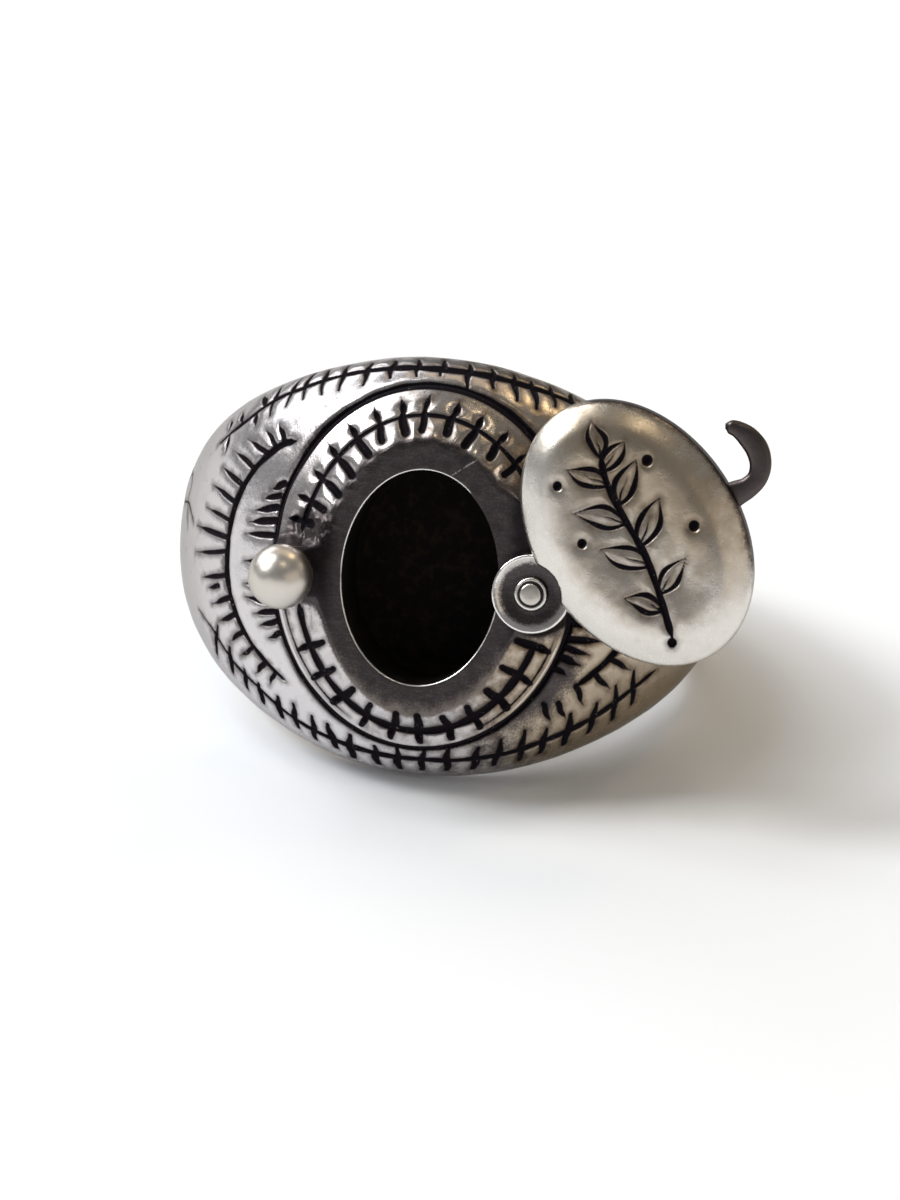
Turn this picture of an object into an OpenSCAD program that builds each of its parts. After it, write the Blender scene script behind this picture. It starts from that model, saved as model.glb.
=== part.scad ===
/* [Band] */
// Radius of the finger hole
bore_r = 8.7; // [8:0.1:9.2]
// Length of the true cylinder at the middle of the finger hole
bore_belt = 5.2; // [3:0.1:5.4]
// Extra radius that the finger hole has at the band's wide edges
bore_flare = 0.35; // [0.1:0.05:0.5]
// Radius of the band's round outline, seen along the finger
band_r = 11.85; // [11.4:0.05:12.4]
// How far the outline's centre stands off the finger hole's axis, towards the face
band_offset = 1.7; // [1.2:0.1:2]
// Half of the band's width along the finger at the face
face_half_w = 8.85; // [8:0.05:9.5]
// Half of the band's width along the finger at the back of the shank
shank_half_w = 2.75; // [2.7:0.05:3.5]
// How fast the band narrows from the face to the back
taper = 4.5; // [3:0.1:5]
/* [Medallion] */
// Height of the flat dark rim over the finger hole's axis
rim_w = 13.8; // [13.7:0.1:14.4]
// Half width of the compartment's opening, across the finger
pocket_u = 3.3; // [2.8:0.1:3.5]
// Half length of the compartment's opening, along the finger
pocket_v = 4.5; // [4:0.1:4.8]
// How far the medallion is turned on the band, against the clock
face_turn = 3.4; // [0:0.1:6]
// Metal left under the compartment's floor
floor_t = 0.85; // [0.7:0.05:1]
// Half width of the flat neck under the catch stud
neck_r = 1.08; // [1:0.04:1.2]
// Radius of the flat ear under the lid's lug
lug_ear_r = 1.6; // [1.4:0.05:1.65]
/* [Catch stud] */
// Place of the stud across the finger
stud_u = -5.55; // [-5.6:0.05:-5.5]
// Place of the stud along the finger
stud_v = -0.05; // [-0.1:0.05:0.3]
// Radius of the ball
ball_r = 1.35; // [1.2:0.05:1.4]
// Height of the ball's centre over the rim
ball_h = 2.3; // [2.2:0.05:2.5]
// Radius of the post that the hook catches
post_r = 0.38; // [0.3:0.01:0.4]
/* [Pivot rivet] */
// Place of the rivet across the finger
rivet_u = 4.75; // [4.7:0.05:4.8]
// Place of the rivet along the finger
rivet_v = -0.3; // [-0.4:0.05:-0.2]
// Radius of the rivet's shank
rivet_r = 0.45; // [0.4:0.01:0.5]
// Radius of the rivet's head
head_r = 0.7; // [0.62:0.02:0.8]
/* [Lid] */
// Half width of the lid, along the line from the rivet to the hook
lid_m = 4.3; // [4:0.1:4.4]
// Half length of the lid
lid_n = 5.95; // [5.6:0.05:6.2]
// Distance from the rivet to the lid's centre
lid_reach = 5.14; // [5:0.02:5.2]
// How far the lid's centre lies off the line from the rivet to the hook
lid_off = -0.22; // [-0.3:0.02:0]
// Angle that the open lid stands at, from the line across the finger
open_angle = 36; // [20:1:60]
// Thickness of the hook and the lug
plate_t = 0.62; // [0.5:0.02:0.66]
// Radius of the lug
lug_r = 1.67; // [1.6:0.01:1.8]
// Radius of the round recess about the rivet's head
recess_r = 1.3; // [1.1:0.05:1.4]
// Distance from the rivet to the middle of the hook's throat
hook_reach = 10.25; // [10.2:0.05:10.3]
// Radius of the hook's throat
throat_r = 0.73; // [0.7:0.01:0.78]
// Width of the hook's arm
arm_w = 0.79; // [0.6:0.01:0.9]
/* [Rest] */
// How far the face looks up as the ring lies on its side
rest_tilt = 18.8; // [0:0.1:30]
// How far the ring leans to the lid's side as it lies
rest_roll = 1; // [0:0.1:10]
// Place of the finger hole's middle from the point under the middle of the whole: to the side, back, and up
rest_x = -1.27; // [-3:0.01:3]
rest_y = 3.42; // [0:0.01:6]
rest_h = 5.45; // [4:0.01:10]
/* [Hidden] */
// Gap between two pieces that are pressed or riveted together
fit_gap = 0.02;
// Gap between the lid and the rim it swings over
swing_gap = 0.08;
// Clearance of the lug's hole about the rivet's shank
run_gap = 0.05;
// Depth of the holes for the stud and the rivet, from the rim down
seat_depth = 1;
// Steps round the band, steps over one section, and steps round an oval
BAND_STEPS = 72;
SECTION_STEPS = 16;
OVAL_STEPS = 64;
// Roundness of the outline seen along the finger: 1 is a circle, and less is fuller
OUTLINE_FULL = 0.94;
// Roundness of a section at the face, in width and in height, and at the back: 1 is an ellipse, and less is fuller
FACE_WIDTH_FULL = 0.71;
FACE_HEIGHT_FULL = 0.68;
BACK_FULL = 1;
$fn = 96;

// The medallion's ovals from the rim outward: half width, half length, shift along the finger, drop below
// the rim, and how much further the end near the band's upper edge drops
//        half_u half_v shift  drop  lean
OVALS = [[4.10,  5.75,  0.00,  0.00, 0.00],
         [4.45,  6.03,  0.03,  0.12, 0.00],
         [4.90,  6.35,  0.08,  0.40, 0.02],
         [5.45,  6.72,  0.15,  0.82, 0.05],
         [5.92,  7.20,  0.22,  1.19, 0.08],
         [6.40,  7.66,  0.30,  1.50, 0.12]];
// Flat ears that widen the rim under the stud and the lug: place across, place along, radius
//       u              v        r
EARS = [[stud_u,        stud_v,  neck_r],
        [stud_u + 0.95, stud_v,  neck_r],
        [rivet_u,       rivet_v, lug_ear_r],
        [3.00,          1.90,    1.95]];
ear_h = 1.4;
// Height where the medallion's skirt ends inside the band
skirt_w = 10.4;

// The lid's ovals from its underside up: inset from the outline, height over the underside
//           inset  h
LID_OVALS = [[0.08, 0.00],
             [0.00, 0.08],
             [0.00, 0.78],
             [0.07, 1.06],
             [0.24, 1.32],
             [0.52, 1.53],
             [0.95, 1.68],
             [1.45, 1.74],
             [2.10, 1.71],
             [3.00, 1.66]];
// Height of the dished middle of the lid's face
lid_middle_h = 1.64;

// Height of the lid's underside, of the recess floor and of the rivet's head over the finger hole's axis
lid_w = rim_w + swing_gap;
recess_w = lid_w + 0.42;
head_w = recess_w + run_gap;
head_t = 0.36;

function signed_power(x, e) = sign(x) * pow(abs(x), e);

// The crest of the band at a step round its outline: place across the finger, and height over its axis
function crest(a) = [band_r * signed_power(sin(a), OUTLINE_FULL),
                     band_offset + band_r * signed_power(cos(a), OUTLINE_FULL)];
// Half of the band's width, and how much of the back's roundness it has, at an angle from the face
function half_width(a) = shank_half_w + (face_half_w - shank_half_w) * pow(abs(cos(a / 2)), taper);
function back_share(a) = 1 - pow(abs(cos(a / 2)), 4);

// One section of the band, from one edge over the crest to the other, closed inside the finger hole
function section(rise, a) =
    let (v = half_width(a), share = back_share(a),
         width_full = FACE_WIDTH_FULL + (BACK_FULL - FACE_WIDTH_FULL) * share,
         height_full = FACE_HEIGHT_FULL + (BACK_FULL - FACE_HEIGHT_FULL) * share)
    concat(
        [[bore_r - 0.8, -v]],
        [for (i = [0:SECTION_STEPS])
            let (t = 180 * i / SECTION_STEPS)
            [bore_r + rise * pow(max(sin(t), 0), height_full), -v * signed_power(cos(t), width_full)]],
        [[bore_r - 0.8, v]]);

// Quads between closed loops of points, the last loop joined to the first when it is a ring
function tube_faces(loops, n, ring) = [
    for (i = [0:loops - (ring ? 1 : 2)], j = [0:n - 1])
        let (k = (i + 1) % loops, m = (j + 1) % n)
        [i * n + j, i * n + m, k * n + m, k * n + j]];

module band_blank() {
    n = SECTION_STEPS + 3;
    points = [for (i = [0:BAND_STEPS - 1])
        let (c = crest(360 * i / BAND_STEPS), a = atan2(c[0], c[1]))
        for (p = section(norm(c) - bore_r, a)) [p[0] * sin(a), p[1], p[0] * cos(a)]];
    polyhedron(points, tube_faces(BAND_STEPS, n, true), convexity = 6);
}

function oval(half_u, half_v, shift, w, lean = 0) = [
    for (i = [0:OVAL_STEPS - 1])
        let (a = 360 * i / OVAL_STEPS)
        [half_u * cos(a), shift + half_v * sin(a), w - lean * sin(a)]];

// A closed stack of ovals, the first one at the bottom
module oval_stack(rows, low, high) {
    n = OVAL_STEPS;
    last = len(rows) * n;
    points = concat([for (r = rows) each r], [low, high]);
    polyhedron(points, concat(
        [for (f = tube_faces(len(rows), n, false)) [f[3], f[2], f[1], f[0]]],
        [for (j = [0:n - 1]) [last, j, (j + 1) % n]],
        [for (j = [0:n - 1]) [last + 1, last - n + (j + 1) % n, last - n + j]]),
        convexity = 4);
}

module medallion() {
    count = len(OVALS);
    foot = OVALS[count - 1];
    rows = concat(
        [oval(foot[0], foot[1], foot[2], skirt_w)],
        [for (i = [count - 1:-1:0])
            let (r = OVALS[i])
            oval(r[0], r[1], r[2], rim_w - r[3], r[4])]);
    oval_stack(rows, [0, foot[2], skirt_w], [0, 0, rim_w]);
}

module ears() {
    for (e = EARS)
        translate([e[0], e[1], rim_w - ear_h]) cylinder(r = e[2], h = ear_h);
}

// The finger hole: a true cylinder in the middle that opens a little to both edges
module finger_hole() {
    belt = bore_belt / 2;
    edge = face_half_w + 0.5;
    rotate([90, 0, 0]) rotate_extrude() polygon([
        [0, -edge], [bore_r + bore_flare, -edge], [bore_r, -belt],
        [bore_r, belt], [bore_r + bore_flare, edge], [0, edge]]);
}

module compartment() {
    translate([0, 0, bore_r + floor_t])
        linear_extrude(rim_w - bore_r - floor_t + 1)
            scale([pocket_u, pocket_v]) circle(r = 1);
}

module seat(u, v, r) {
    translate([u, v, rim_w - seat_depth]) cylinder(r = r, h = seat_depth + 0.5);
}

// Turns what sits on the face with the medallion
module on_face() {
    rotate([0, 0, face_turn]) children();
}

// Lays the ring on its side: the face looks to the front and a little up
module at_rest() {
    translate([rest_x, rest_y, rest_h]) rotate([0, rest_roll, 0]) rotate([90 - rest_tilt, 0, 0]) children();
}

module ring_body() {
    color("silver") at_rest() difference() {
        union() {
            band_blank();
            on_face() {
                medallion();
                ears();
            }
        }
        finger_hole();
        on_face() {
            compartment();
            seat(stud_u, stud_v, post_r + fit_gap);
            seat(rivet_u, rivet_v, rivet_r + fit_gap);
        }
    }
}

module catch_stud() {
    foot = rim_w - seat_depth + fit_gap;
    color("gainsboro") at_rest() on_face() translate([stud_u, stud_v, 0]) {
        translate([0, 0, foot]) cylinder(r = post_r, h = rim_w + ball_h - foot);
        translate([0, 0, rim_w + ball_h]) sphere(r = ball_r);
    }
}

module pivot_rivet() {
    foot = rim_w - seat_depth + fit_gap;
    color("darkgray") at_rest() on_face() translate([rivet_u, rivet_v, 0]) rotate_extrude() polygon([
        [0, foot], [rivet_r, foot], [rivet_r, head_w], [head_r, head_w],
        [head_r, head_w + head_t * 0.7], [head_r * 0.86, head_w + head_t],
        [0, head_w + head_t]]);
}

// The lid's domed cover, in the lid's own frame: x from the rivet to the hook, y along the lid
module cover() {
    rows = [for (r = LID_OVALS)
        [for (p = oval(lid_m - r[0], lid_n - r[0], lid_off, r[1])) [p[0] + lid_reach, p[1], p[2]]]];
    oval_stack(rows, [lid_reach, lid_off, 0], [lid_reach, lid_off, lid_middle_h]);
}

// Points along an arc of an ellipse about the throat's middle
function throat_arc(half_m, half_n, from, to, steps = 12) = [
    for (i = [0:steps])
        let (a = from + (to - from) * i / steps)
        [hook_reach + half_m * cos(a), half_n * sin(a)]];

// The hook's outline: a round throat, an arm that rises to a blunt tip, and a root inside the cover
module hook() {
    outer_r = throat_r + arm_w;
    root_m = lid_reach + lid_m - 1;
    linear_extrude(plate_t) polygon(concat(
        [[root_m, -outer_r], [hook_reach - 0.1, -outer_r]],
        throat_arc(outer_r - 0.02, outer_r, -80, 0),
        throat_arc(outer_r - 0.02, 1.8, 8, 73),
        throat_arc(throat_r, 1.71, 53, 5),
        throat_arc(throat_r, throat_r, 0, -90),
        [[hook_reach - 0.65, -throat_r + 0.12], [root_m, -throat_r + 0.45]]));
}

module lid() {
    color("silver") at_rest() on_face() translate([rivet_u, rivet_v, lid_w]) rotate([0, 0, open_angle])
        difference() {
            union() {
                cover();
                cylinder(r = lug_r, h = plate_t);
                hook();
            }
            translate([0, 0, recess_w - lid_w]) cylinder(r = recess_r, h = 3);
            translate([0, 0, -1]) cylinder(r = rivet_r + run_gap, h = 3);
        }
}

ring_body();
catch_stud();
pivot_rivet();
lid();
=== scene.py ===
"""Silver ring with a swivel lid: its visible surfaces, finishes, light and camera."""

import logging
import math
from dataclasses import dataclass, fields
from enum import Enum
from typing import Iterable, Sequence

import bmesh
import bpy
import numpy as np
from mathutils import Matrix, Vector, noise


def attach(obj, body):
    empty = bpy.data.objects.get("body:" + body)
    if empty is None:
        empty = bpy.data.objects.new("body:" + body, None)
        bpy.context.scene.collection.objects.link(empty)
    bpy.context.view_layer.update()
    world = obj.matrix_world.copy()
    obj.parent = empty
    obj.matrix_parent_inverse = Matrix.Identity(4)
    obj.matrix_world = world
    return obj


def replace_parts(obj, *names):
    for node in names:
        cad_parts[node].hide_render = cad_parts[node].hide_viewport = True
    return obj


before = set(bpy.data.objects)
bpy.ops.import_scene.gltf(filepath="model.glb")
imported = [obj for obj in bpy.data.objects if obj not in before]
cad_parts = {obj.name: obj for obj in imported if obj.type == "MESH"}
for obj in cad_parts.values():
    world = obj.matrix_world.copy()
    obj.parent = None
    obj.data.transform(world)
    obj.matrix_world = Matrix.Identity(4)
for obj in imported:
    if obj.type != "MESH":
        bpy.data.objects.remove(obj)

LOG = logging.getLogger("ring")
MM = 0.001
Points = np.ndarray
Colour = tuple[float, float, float]


@dataclass(frozen=True)
class RestPlace:
    """How the ring lies: its tilt and roll in degrees, and the finger hole's middle in millimetres."""

    tilt: float = 18.8
    roll: float = 1.0
    place: tuple[float, float, float] = (-1.27, 3.42, 5.45)


REST = RestPlace()

# The medallion's ovals from the rim outward, in millimetres:
#        half_u half_v shift  drop  lean
OVALS = ((4.10, 5.75, 0.00, 0.00, 0.00),
         (4.45, 6.03, 0.03, 0.12, 0.00),
         (4.90, 6.35, 0.08, 0.40, 0.02),
         (5.45, 6.72, 0.15, 0.82, 0.05),
         (5.92, 7.20, 0.22, 1.19, 0.08),
         (6.40, 7.60, 0.27, 1.50, 0.12))
# Flat ears beside the rim, under the stud and the lug:
#        u       v     radius
EARS = ((-5.55, -0.05, 1.08),
        (-4.60, -0.05, 1.08),
        (4.75, -0.30, 1.60),
        (3.00, 1.90, 1.95))
# The lid's profile from its underside up:
#            inset  height
LID_OVALS = ((0.08, 0.00),
             (0.00, 0.08),
             (0.00, 0.80),
             (0.04, 0.96),
             (0.14, 1.09),
             (0.36, 1.25),
             (0.70, 1.46),
             (1.05, 1.62),
             (1.40, 1.70),
             (1.80, 1.73),
             (2.40, 1.71),
             (3.00, 1.66))
# The hook's middle line from the cover to its tip, in the lid's frame from the rivet:
#        m       n     width
HOOK = ((8.60, -1.02, 1.30),
        (9.40, -1.06, 1.10),
        (10.00, -1.12, 0.92),
        (10.55, -1.00, 0.86),
        (10.98, -0.60, 0.90),
        (11.20, 0.00, 0.96),
        (11.16, 0.62, 0.90),
        (10.98, 1.12, 0.70),
        (10.74, 1.42, 0.56),
        (10.62, 1.52, 0.42))

# The engraving's lines on the band: angle from the face and angle round the section, both in degrees, and
# half width in millimetres.
TOP_LINE = (
    (-53, 122, 0.10), (-49, 128, 0.12), (-45, 133, 0.14), (-42, 138.5, 0.15), (-39, 143.5, 0.16),
    (-36, 146.5, 0.16), (-33, 148.5, 0.16), (-30, 151.5, 0.16), (-25, 155.5, 0.17), (-20, 158.5, 0.19),
    (-15, 160.5, 0.22), (-8, 162, 0.26), (0, 162.5, 0.28), (8, 163, 0.28), (16, 162.5, 0.26),
    (23, 161.5, 0.22), (28, 159, 0.18), (33, 154, 0.15), (39, 146, 0.14), (45, 136, 0.13), (53, 124, 0.09)
)
BOTTOM_LINE = (
    (-52, 65, 0.06), (-46, 61.5, 0.08), (-43, 57.5, 0.09), (-40, 53, 0.10), (-37, 50, 0.10),
    (-33, 47, 0.10), (-29, 42.5, 0.11), (-25, 38.5, 0.12), (-21, 35.5, 0.13), (-17, 33.5, 0.15),
    (-13, 32, 0.18), (-8, 31, 0.19), (-3, 30.5, 0.17), (3, 31, 0.16), (9, 31.5, 0.15), (14, 33, 0.15),
    (20, 35, 0.16), (25, 38.5, 0.16), (30, 42.5, 0.17), (34, 46, 0.17), (38, 50.5, 0.16),
    (41, 54.5, 0.15), (45, 59.5, 0.12), (50, 65, 0.08)
)
SHOULDER_LINE = (
    (-28, 120, 0.13), (-31, 119, 0.16), (-34, 115, 0.17), (-36.5, 110.5, 0.17), (-38.8, 104.5, 0.18),
    (-40.5, 98, 0.18), (-41.2, 91.5, 0.18), (-40.6, 84.5, 0.17), (-38.8, 77.5, 0.16), (-36.5, 71.5, 0.14),
    (-33.5, 66, 0.13), (-30, 61.5, 0.12), (-26.5, 58, 0.10), (-24.5, 56.5, 0.08)
)
SHOULDER_LINE_RIGHT = (
    (28, 120, 0.13), (34, 115, 0.17), (38.8, 104.5, 0.17), (41.2, 91.5, 0.17), (39.5, 80, 0.17),
    (37.5, 75, 0.17), (34.2, 70, 0.16), (31, 66, 0.13)
)
# Ticks on the band, each with the angle and section angle of one end, then of the other.
TOP_TICKS = (
    (-48.0, 118.0, -49.5, 126.0), (-50.9, 129.0, -53.6, 136.0), (-46.8, 131.8, -50.0, 139.0),
    (-40.9, 129.0, -43.0, 136.0), (-40.9, 139.0, -45.9, 149.6), (-37.5, 132.7, -42.3, 156.8),
    (-34.1, 137.0, -37.5, 162.0), (-30.5, 140.0, -35.5, 167.0), (-26.2, 142.0, -31.0, 167.0),
    (-22.3, 144.0, -25.8, 168.0), (-17.5, 147.0, -19.8, 169.0), (-12.5, 152.0, -14.2, 171.0),
    (-6.8, 154.0, -8.4, 172.0), (-1.8, 156.0, -2.2, 174.0)
)
TOP_TICKS_RIGHT = (
    (4.1, 150.0, 4.0, 173.0), (9.5, 153.0, 9.5, 172.0), (14.5, 148.0, 14.5, 171.0),
    (18.8, 146.0, 18.7, 170.0), (23.0, 151.0, 23.6, 171.0), (27.0, 154.0, 29.5, 172.0)
)
BOTTOM_TICKS = (
    (-43.6, 64.8, -46.8, 48.8), (-40.0, 58.6, -41.2, 45.2), (-35.9, 52.3, -37.3, 40.7),
    (-32.3, 48.8, -32.9, 37.1), (-27.5, 47.0, -28.4, 33.6), (-23.6, 47.0, -24.4, 31.8),
    (-19.3, 44.3, -20.5, 27.0), (-16.1, 42.5, -15.5, 26.0), (-11.6, 39.8, -12.3, 19.3),
    (-6.4, 36.3, -6.6, 19.3), (-1.8, 37.0, -1.8, 17.5)
)
BOTTOM_TICKS_RIGHT = (
    (3.5, 39.0, 3.2, 19.0), (8.2, 40.7, 8.8, 21.0), (14.1, 40.7, 14.4, 22.9), (18.5, 45.0, 18.6, 25.5),
    (22.5, 48.8, 23.8, 27.2), (27.0, 47.9, 28.0, 30.9), (31.4, 54.0, 32.9, 33.6),
    (36.4, 56.8, 37.7, 38.9), (40.0, 63.0, 42.7, 43.4), (43.5, 67.5, 46.4, 50.5)
)
SHOULDER_TICKS = (
    (-30.7, 120.2, -33.6, 127.9), (-32.5, 118.4, -36.8, 126.0), (-33.9, 115.4, -41.2, 122.0),
    (-36.8, 110.4, -44.3, 117.5), (-38.6, 104.0, -47.3, 111.3), (-40.6, 99.3, -49.3, 104.6),
    (-41.4, 94.3, -50.5, 97.0), (-42.0, 90.7, -54.1, 91.4), (-41.2, 88.9, -53.0, 85.7),
    (-40.6, 83.6, -49.5, 79.1), (-43.0, 79.5, -46.6, 77.0), (-39.1, 77.9, -45.0, 72.3),
    (-37.7, 72.9, -42.5, 67.5), (-35.5, 68.4, -39.5, 61.8), (-33.0, 63.6, -36.4, 58.2),
    (-30.0, 60.0, -32.5, 53.8), (-27.3, 58.6, -29.1, 51.4)
)
SHOULDER_TICKS_RIGHT = (
    (25.0, 60.5, 27.4, 51.3), (27.9, 60.0, 30.4, 52.0), (31.0, 66.0, 33.4, 57.3),
    (34.3, 69.5, 38.6, 62.3), (37.6, 73.8, 42.6, 68.2)
)
COLLAR_TICKS = (
    (-28.6, 105.5, -31.0, 103.5), (-28.9, 102.0, -32.8, 100.8), (-29.3, 98.8, -34.4, 97.5),
    (-29.5, 95.6, -35.6, 94.6), (-29.5, 92.5, -36.2, 92.1), (-28.6, 89.3, -35.8, 88.2),
    (-28.2, 85.0, -35.2, 83.4), (-27.9, 81.0, -34.6, 80.0), (-27.3, 79.0, -32.4, 76.2),
    (-26.6, 76.5, -30.8, 73.2), (-25.6, 73.6, -28.6, 70.2)
)
# Fine scratches on the left half: angle and section angle.
HAIRLINES = (((-74, 96.5), (-66, 97.5), (-61.5, 97), (-56, 91.5)),
             ((-70, 111), (-65, 109), (-62.5, 103.5), (-63, 98), (-60, 90)))
# Ticks across the medallion's middle groove: u and v of the outer end, then of the inner end.
MEDALLION_TICKS = (
    (-5.85, 2.05, -4.75, 1.90), (-5.60, 3.10, -4.20, 2.55), (-4.95, 4.20, -3.60, 3.25),
    (-4.40, 5.30, -3.10, 4.10), (-3.60, 6.20, -2.50, 5.00), (-2.45, 6.95, -1.90, 5.60),
    (-1.35, 7.40, -1.00, 6.00), (-0.15, 7.70, -0.30, 6.15), (1.15, 7.40, 0.75, 6.10),
    (2.25, 6.90, 1.62, 5.65), (3.25, 6.30, 2.60, 5.20), (4.10, 5.40, 3.30, 4.50),
    (-5.20, -3.50, -4.00, -3.00), (-4.65, -4.75, -3.50, -4.10), (-3.80, -5.80, -2.60, -4.90),
    (-2.40, -6.70, -1.85, -5.50), (-1.10, -7.10, -0.72, -5.80), (0.20, -7.25, 0.15, -5.85),
    (1.65, -7.05, 1.25, -5.85), (2.85, -6.55, 2.20, -5.35), (4.05, -5.60, 3.05, -4.60),
    (4.95, -4.40, 3.65, -3.55), (5.55, -2.95, 4.20, -2.40)
)


@dataclass(frozen=True)
class Oval:
    """An ellipse on the face plane, in millimetres."""

    half_u: float
    half_v: float
    shift: float

    def at(self, angle: np.ndarray) -> Points:
        """Return the points of the ellipse at some angles.

        Args:
            angle: angles in radians.

        Returns:
            The points, one row (u, v) each.
        """
        return np.stack([self.half_u * np.cos(angle), self.shift + self.half_v * np.sin(angle)], -1)

    def level(self, u: np.ndarray, v: np.ndarray) -> np.ndarray:
        """Return how far out points lie, as a share of the ellipse.

        Args:
            u: places across the finger.
            v: places along the finger.

        Returns:
            0 at the middle, 1 on the ellipse.
        """
        return np.hypot(u / self.half_u, (v - self.shift) / self.half_v)


# A fine scratch over the rim: u and v.
RIM_SCRATCH = ((1.10, 4.36), (1.62, 4.72), (2.25, 5.16))

# Where the medallion's edge shows as a bright wire, a painted highlight on its lip: middle of the arc,
# half its length, in degrees.
WIRE_ARCS = ((203, 27), (158, 13), (324, 24))

# The medallion's grooves, and its foot on the band.
MIDDLE_GROOVE = Oval(5.30, 6.64, 0.10)
OUTER_GROOVE = Oval(6.50, 7.68, 0.25)
LIP_GROOVE = Oval(6.03, 7.24, 0.24)
FOOT = Oval(*OVALS[-1][:3])

# How far inside a cut a place is where no cut is near, in millimetres.
FAR_OUTSIDE = -0.55


class Width(Enum):
    """Half widths of the engraver's cuts, in millimetres."""

    HAIR = 0.045
    LINE = 0.125
    GROOVE = 0.15
    COLLAR = 0.16
    TICK = 0.165
    THICK = 0.18
    BROAD = 0.205


class Tips(Enum):
    """A tick's ends: the width of each beside the middle, and the share of the length that narrows."""

    SLIM = (0.42, 0.42, 0.6)
    FULL = (0.50, 0.75, 0.45)
    WEDGE = (1.0, 0.25, 0.6)
    CLUB = (0.10, 1.0, 0.42)
    LEAF = (0.6, 0.2, 0.6)


# Small helpers


def signed_power(x: np.ndarray, exponent: np.ndarray | float) -> np.ndarray:
    """Raise the size of a number to a power and keep its sign.

    Args:
        x: the numbers.
        exponent: the power.

    Returns:
        The signed powers.
    """
    return np.sign(x) * np.abs(x) ** exponent


def ease(x: np.ndarray | float, low: float, high: float) -> np.ndarray:
    """Return a smooth step from 0 at low to 1 at high.

    Args:
        x: the values.
        low: where the step starts.
        high: where it ends.

    Returns:
        The eased values.
    """
    t = np.clip((np.asarray(x, float) - low) / (high - low), 0.0, 1.0)
    return t * t * (3.0 - 2.0 * t)


def curve(rows: Sequence[Sequence[float]], x: np.ndarray) -> np.ndarray:
    """Read a table with a smooth curve through its rows.

    Args:
        rows: the table's rows.
        x: row numbers, with fractions.

    Returns:
        One row of values for each x.
    """
    table = np.asarray(rows, float)
    i = np.clip(np.floor(x).astype(int), 0, len(table) - 2)
    f = (x - i)[..., None]
    a, b = table[np.clip(i - 1, 0, len(table) - 1)], table[i]
    c, d = table[i + 1], table[np.clip(i + 2, 0, len(table) - 1)]
    return b + 0.5 * f * (c - a + f * (2 * a - 5 * b + 4 * c - d + f * (3 * (b - c) + d - a)))


def resample(line: Points, step: float, at_least: int = 6) -> Points:
    """Space points evenly along a line.

    Args:
        line: points along it.
        step: the spacing.
        at_least: the fewest points.

    Returns:
        The even points.
    """
    run = np.concatenate([[0.0], np.cumsum(np.linalg.norm(np.diff(line, axis=0), axis=1))])
    count = max(at_least, int(run[-1] / step) + 2)
    s = np.linspace(0, run[-1], count)
    return np.stack([np.interp(s, run, line[:, k]) for k in range(line.shape[1])], -1)


def spline(rows: Sequence[Sequence[float]], density: int = 24) -> Points:
    """Return a smooth line through a short table's rows.

    Args:
        rows: the table's rows.
        density: steps between two rows.

    Returns:
        Points on the line.
    """
    return curve(rows, np.linspace(0, len(rows) - 1, (len(rows) - 1) * density + 1))


def wobble(points: Points, scale: float, seed: float) -> np.ndarray:
    """Return soft noise at some points.

    Args:
        points: places in millimetres, in rows of three.
        scale: waves per millimetre.
        seed: shifts the noise.

    Returns:
        Values from about -1 to 1.
    """
    flat = points.reshape(-1, 3) * scale + seed
    return np.fromiter((noise.noise(p) for p in flat.tolist()), float, len(flat)).reshape(points.shape[:-1])


class Waves(Enum):
    """Uneven layers of a hand-made surface: strength, waves per millimetre and seed of each."""

    BAND = ((0.030, 0.33, 3.1), (0.010, 1.2, 8.7))
    SOOT = ((0.55, 0.7, 5.2),)
    MEDALLION = ((0.012, 0.5, 1.7), (0.006, 1.7, 4.4))
    BURR = ((0.16, 1.5, 5.3), (0.16, 3.6, 2.1))
    EAR_WEAR = ((0.5, 1.2, 4.4),)
    BALL = ((0.012, 0.8, 2.2),)
    RIVET = ((0.018, 1.4, 6.1),)
    COVER = ((0.030, 0.35, 9.4), (0.012, 1.1, 2.8))
    LUG = ((0.016, 1.3, 3.3),)
    HOOK = ((0.012, 0.9, 7.7),)

    def at(self, points: Points) -> np.ndarray:
        """Add up the layers at some points.

        Args:
            points: places in millimetres.

        Returns:
            One value for each.
        """
        return sum(strength * wobble(points, scale, seed) for strength, scale, seed in self.value)


def around(count: int) -> np.ndarray:
    """Return even angles once round a circle, in radians."""
    return np.linspace(0, 2 * math.pi, count, endpoint=False)


# Frames


def rest_matrix() -> np.ndarray:
    """Return the turn from the ring's own frame to the stored one.

    Returns:
        A 3 by 3 matrix.
    """
    roll = Matrix.Rotation(math.radians(REST.roll), 3, "Y")
    tilt = Matrix.Rotation(math.radians(90 - REST.tilt), 3, "X")
    return np.array(roll @ tilt)


REST_TURN = rest_matrix()


def turned(points: Points, angle: float) -> Points:
    """Turn points about the face's normal.

    Args:
        points: places, in rows of three.
        angle: the turn in degrees, against the clock.

    Returns:
        The turned points.
    """
    cos, sin = math.cos(math.radians(angle)), math.sin(math.radians(angle))
    u, v = points[..., 0], points[..., 1]
    return np.stack([u * cos - v * sin, u * sin + v * cos, points[..., 2]], -1)


def from_ring(points: Points) -> Points:
    """Take points from the ring's frame to the stored frame in metres.

    Args:
        points: u, v, w in millimetres.

    Returns:
        x, y, z in metres.
    """
    return (points @ REST_TURN.T + np.array(REST.place)) * MM


def from_face(points: Points) -> Points:
    """Take points from the face's frame to the stored frame in metres.

    Args:
        points: u, v, w in millimetres.

    Returns:
        x, y, z in metres.
    """
    return from_ring(turned(points, FACE.turn))


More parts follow.
